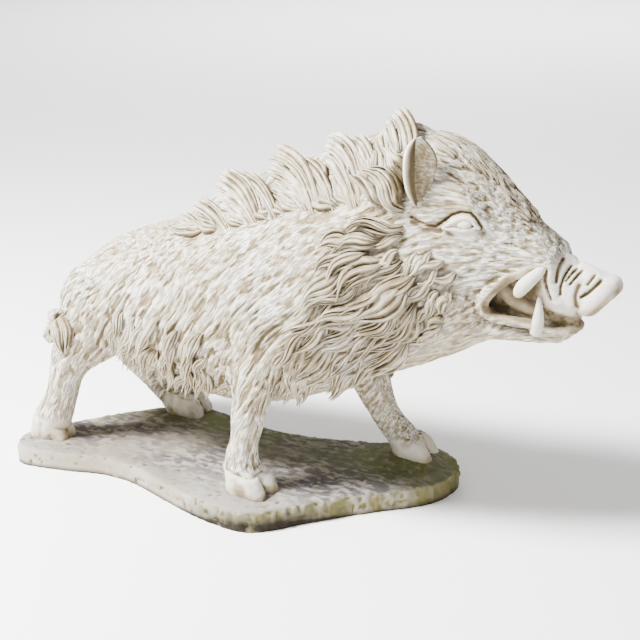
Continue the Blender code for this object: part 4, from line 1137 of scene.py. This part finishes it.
# Weathered stone: paler and greyer patches, dirt and painted shade in the hollows, undersides tan with painted shade
# and the stone's own staining, fine pits
def weatherGroup():
    tree, inputs, outputs = newGroup(
        "weathered stone",
        [("Stone", "Color", (0.8, 0.76, 0.66, 1)), ("Pale", "Color", (0.86, 0.85, 0.82, 1)), ("Dirt And Shade Colour", "Color", (0.2, 0.16, 0.09, 1)),
         ("Tan Stain And Shade", "Color", (0.5, 0.4, 0.25, 1)), ("Dirt And Shade", "Float", 0.0), ("Dirt And Shade Amount", "Float", 0.8),
         ("Fur Place", "Vector", None), ("Furry", "Float", 0.0)],
        [("Color", "Color", None), ("Roughness", "Float", None), ("Height", "Float", None)])
    colour = mixed(tree, noiseMask(tree, 5.0, 0.42, 0.62), inputs["Stone"], inputs["Pale"])
    normal = addNode(tree, "ShaderNodeSeparateXYZ", {"Vector": addNode(tree, "ShaderNodeNewGeometry").outputs["Normal"]})
    # Undersides turn tan: painted shade, partly the stone's own staining
    undersideShadeAndStain = addNode(tree, "ShaderNodeMapRange", {"Value": normal.outputs["Z"], "From Min": 0.15, "From Max": -0.9}).outputs[0]
    undersideShadeAndStain = maths(tree, "MULTIPLY", undersideShadeAndStain, noiseMask(tree, 9.0, 0.25, 0.6, offset=(3.0, 1.0, 0.0)))
    colour = mixed(tree, maths(tree, "MULTIPLY", undersideShadeAndStain, 0.75), colour, inputs["Tan Stain And Shade"])
    stain = maths(tree, "MULTIPLY", noiseMask(tree, 9.0, 0.5, 0.8, 5.0, (5.0, 2.0, 7.0)), 0.30)
    colour = mixed(tree, stain, colour, inputs["Tan Stain And Shade"])
    mottle = maths(tree, "MULTIPLY", noiseMask(tree, 75.0, 0.48, 0.72, 3.0, (2.0, 9.0, 4.0)), 0.35)
    colour = mixed(tree, mottle, colour, inputs["Tan Stain And Shade"])
    # Dirt and painted shade from the sunk value, first tan and then darker
    dirtAndShadeMask = maths(tree, "MULTIPLY", inputs["Dirt And Shade"], inputs["Dirt And Shade Amount"])
    dirtAndShadeMask = maths(tree, "MULTIPLY", dirtAndShadeMask, noiseMask(tree, 22.0, 0.15, 0.55, offset=(1.0, 8.0, 2.0)), clamp=True)
    colour = mixed(tree, maths(tree, "MULTIPLY", dirtAndShadeMask, 1.5, clamp=True), colour, inputs["Tan Stain And Shade"])
    colour = mixed(tree, maths(tree, "MULTIPLY", maths(tree, "SUBTRACT", dirtAndShadeMask, 0.4), 1.6, clamp=True), colour, inputs["Dirt And Shade Colour"])
    place = addNode(tree, "ShaderNodeMapping", {"Vector": inputs["Fur Place"], "Scale": (0.42, 2.3, 2.3)})
    strokeNoise = addNode(tree, "ShaderNodeTexNoise", {"Vector": place.outputs[0], "Scale": 1.0, "Detail": 2.5}).outputs["Fac"]
    strokeShape = addNode(tree, "ShaderNodeMapRange", {"Value": strokeNoise, "From Min": 0.45, "From Max": 0.56}).outputs[0]
    # Grooves between the fur strokes: dirt and painted shade, also cut into the bump
    groove = maths(tree, "MULTIPLY", maths(tree, "SUBTRACT", 1.0, strokeShape), inputs["Furry"])
    colour = mixed(tree, maths(tree, "MULTIPLY", groove, 0.6), colour, inputs["Dirt And Shade Colour"])
    pits = noiseMask(tree, 520.0, 0.66, 0.8, 2.0)
    colour = mixed(tree, maths(tree, "MULTIPLY", pits, 0.3), colour, inputs["Dirt And Shade Colour"])
    tree.links.new(colour, outputs["Color"])
    tree.links.new(maths(tree, "ADD", 0.82, maths(tree, "MULTIPLY", noiseMask(tree, 60.0, 0.3, 0.7), 0.13)), outputs["Roughness"])
    grainy = noiseMask(tree, 700.0, 0.3, 0.7, 4.0)
    rough = maths(tree, "MULTIPLY", maths(tree, "SUBTRACT", grainy, maths(tree, "MULTIPLY", pits, 1.5)), 0.4)
    tree.links.new(maths(tree, "SUBTRACT", rough, groove), outputs["Height"])
    return tree


# Moss and lichen: green growth where the slab stays damp, dark speckle on its open top
def growthGroup():
    tree, inputs, outputs = newGroup(
        "moss and lichen",
        [("Color", "Color", (0.8, 0.8, 0.8, 1)), ("Moss", "Color", (0.10, 0.11, 0.03, 1)), ("Lichen", "Color", (0.055, 0.045, 0.05, 1)),
         ("Olive", "Color", (0.16, 0.14, 0.055, 1)), ("Soil", "Color", (0.02, 0.015, 0.008, 1))],
        [("Color", "Color", None)])
    place = addNode(tree, "ShaderNodeSeparateXYZ", {"Vector": addNode(tree, "ShaderNodeTexCoord").outputs["Object"]})
    normal = addNode(tree, "ShaderNodeSeparateXYZ", {"Vector": addNode(tree, "ShaderNodeNewGeometry").outputs["Normal"]})
    up = addNode(tree, "ShaderNodeMapRange", {"Value": normal.outputs["Z"], "From Min": 0.3, "From Max": 0.8}).outputs[0]
    middle = addNode(tree, "ShaderNodeMapRange", {"Value": place.outputs["Y"], "From Min": -0.20, "From Max": -0.09}).outputs[0]
    patches = maths(tree, "MULTIPLY", noiseMask(tree, 6.0, 0.26, 0.48, 4.0), middle)
    scratches = noiseMask(tree, 38.0, 0.42, 0.54, 9.0, (4.0, 4.0, 0.0), (1.0, 2.2, 1.0))
    speckle = maths(tree, "MULTIPLY", maths(tree, "MULTIPLY", patches, scratches), up)
    colour = mixed(tree, maths(tree, "MULTIPLY", up, 0.38), inputs["Color"], inputs["Lichen"])
    colour = mixed(tree, maths(tree, "MULTIPLY", speckle, 0.85), colour, inputs["Lichen"])
    far = addNode(tree, "ShaderNodeMapRange", {"Value": place.outputs["Y"], "From Min": -0.02, "From Max": 0.10}).outputs[0]
    mossy = maths(tree, "MULTIPLY", far, noiseMask(tree, 7.0, 0.28, 0.50, 6.0, (9.0, 1.0, 1.0)))
    mossy = maths(tree, "MULTIPLY", mossy, noiseMask(tree, 120.0, 0.25, 0.55, 4.0))
    colour = mixed(tree, mossy, colour, inputs["Moss"])
    side = maths(tree, "SUBTRACT", 1.0, up)
    right = addNode(tree, "ShaderNodeMapRange", {"Value": place.outputs["X"], "From Min": -0.02, "From Max": 0.14}).outputs[0]
    streak = noiseMask(tree, 30.0, 0.32, 0.60, 4.0, (1.0, 2.0, 3.0), (1.0, 1.0, 0.15))
    colour = mixed(tree, maths(tree, "MULTIPLY", maths(tree, "MULTIPLY", side, right), streak), colour, inputs["Olive"])
    damp = addNode(tree, "ShaderNodeMapRange", {"Value": place.outputs["Z"], "From Min": 0.040, "From Max": 0.016}).outputs[0]
    corner = addNode(tree, "ShaderNodeMapRange", {"Value": place.outputs["Y"], "From Min": -0.05, "From Max": -0.17}).outputs[0]
    damp = maths(tree, "MULTIPLY", maths(tree, "MULTIPLY", damp, corner), right)
    damp = maths(tree, "ADD", damp, addNode(tree, "ShaderNodeMapRange", {"Value": place.outputs["Z"], "From Min": 0.012,
                                                                         "From Max": 0.0}).outputs[0], clamp=True)
    soil = maths(tree, "MULTIPLY", damp, noiseMask(tree, 14.0, 0.38, 0.48, 5.0, (2.0, 6.0, 1.0)))
    colour = mixed(tree, soil, colour, inputs["Soil"])
    tree.links.new(colour, outputs["Color"])
    return tree


weather = weatherGroup()
growth = growthGroup()


def stoneMaterial(name, colours, dirtAndShadeAmount, bumpHeight, withGrowth=False):
    material = bpy.data.materials.new(name)
    material.use_nodes = True
    tree = material.node_tree
    shader = tree.nodes["Principled BSDF"]
    shader.inputs["Metallic"].default_value = 0.0
    shader.inputs["Specular IOR Level"].default_value = 0.25
    stone = addNode(tree, "ShaderNodeGroup", node_tree=weather)
    for label, value in colours.items():
        stone.inputs[label].default_value = (*value, 1)
    stone.inputs["Dirt And Shade Amount"].default_value = dirtAndShadeAmount
    for label, attribute, output in (("Dirt And Shade", "dirtAndShade", "Fac"), ("Furry", "furry", "Fac"), ("Fur Place", "furPlace", "Vector")):
        tree.links.new(addNode(tree, "ShaderNodeAttribute", attribute_name=attribute).outputs[output], stone.inputs[label])
    colour = stone.outputs["Color"]
    if withGrowth:
        colour = addNode(tree, "ShaderNodeGroup", {}, node_tree=growth)
        tree.links.new(stone.outputs["Color"], colour.inputs["Color"])
        colour = colour.outputs["Color"]
    tree.links.new(colour, shader.inputs["Base Color"])
    tree.links.new(stone.outputs["Roughness"], shader.inputs["Roughness"])
    bump = addNode(tree, "ShaderNodeBump", {"Distance": bumpHeight, "Strength": 0.6})
    tree.links.new(stone.outputs["Height"], bump.inputs["Height"])
    tree.links.new(bump.outputs["Normal"], shader.inputs["Normal"])
    return material


boarColours = {"Stone": (0.68, 0.63, 0.52), "Pale": (0.82, 0.805, 0.76), "Dirt And Shade Colour": (0.09, 0.066, 0.031), "Tan Stain And Shade": (0.38, 0.30, 0.18)}
slabColours = {"Stone": (0.30, 0.27, 0.22), "Pale": (0.42, 0.405, 0.375), "Dirt And Shade Colour": (0.08, 0.06, 0.03), "Tan Stain And Shade": (0.32, 0.26, 0.14)}
boarStone = stoneMaterial("weatheredBoarStone", boarColours, 1.45, 0.0030)
slabStone = stoneMaterial("mossySlabStone", slabColours, 1.0, 0.0030, withGrowth=True)

pieces = skinPieces + hairPieces + [facePiece, slabPiece]
for piece in pieces:
    piece.data.transform(Matrix.Scale(unit, 4))
    piece.data.materials.clear()
    piece.data.materials.append(slabStone if piece is slabPiece else boarStone)
    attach(piece, "root")
    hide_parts("boar_and_base")
print("stone finished:", sum(len(p.data.polygons) for p in pieces), "faces")

# Floor, light and camera
stage = {
    "floorSize": 90.0,
    "floorColour": (0.95, 0.95, 0.945, 1),
    "skyStrength": 0.72,
    "keyEnergy": 860.0,
    "fillEnergy": 10.0,
    "backdropEnergy": 1500.0,
    "cameraAt": (1.2317, -1.9313, 1.1666),
    "lookAt": (0.217, -0.023, 0.38),
    "lens": 67.5,
}


def areaLight(name, place, target, size, energy):
    light = bpy.data.objects.new(name, bpy.data.lights.new(name, "AREA"))
    light.data.size = size
    light.data.energy = energy
    light.location = place
    light.rotation_euler = (Vector(target) - Vector(place)).to_track_quat("-Z", "Y").to_euler()
    bpy.context.scene.collection.objects.link(light)


def setStage():
    bpy.ops.mesh.primitive_plane_add(size=stage["floorSize"])
    floor = bpy.context.object
    floor.name = "floor"
    paint = bpy.data.materials.new("paleFloor")
    paint.use_nodes = True
    paint.node_tree.nodes["Principled BSDF"].inputs["Base Color"].default_value = stage["floorColour"]
    paint.node_tree.nodes["Principled BSDF"].inputs["Roughness"].default_value = 0.9
    floor.data.materials.append(paint)
    world = bpy.data.worlds.new("studio")
    world.use_nodes = True
    world.node_tree.nodes["Background"].inputs["Color"].default_value = (1, 1, 1, 1)
    world.node_tree.nodes["Background"].inputs["Strength"].default_value = stage["skyStrength"]
    bpy.context.scene.world = world
    areaLight("key", (-1.5, -1.5, 2.9), (0.1, 0, 0.35), 0.9, stage["keyEnergy"])
    areaLight("backdropLight", (-3.0, 9.0, 5.0), (-4.0, 10.0, 0), 8.0, stage["backdropEnergy"])
    areaLight("fill", (-2.4, -1.2, 1.6), (0, 0, 0.35), 2.2, stage["fillEnergy"])
    camera = bpy.data.objects.new("camera", bpy.data.cameras.new("camera"))
    camera.data.lens = stage["lens"]
    camera.data.sensor_width = 36
    camera.location = stage["cameraAt"]
    camera.rotation_euler = (Vector(stage["lookAt"]) - Vector(stage["cameraAt"])).to_track_quat("-Z", "Y").to_euler()
    bpy.context.scene.collection.objects.link(camera)
    bpy.context.scene.camera = camera


setStage()
print("stage set")
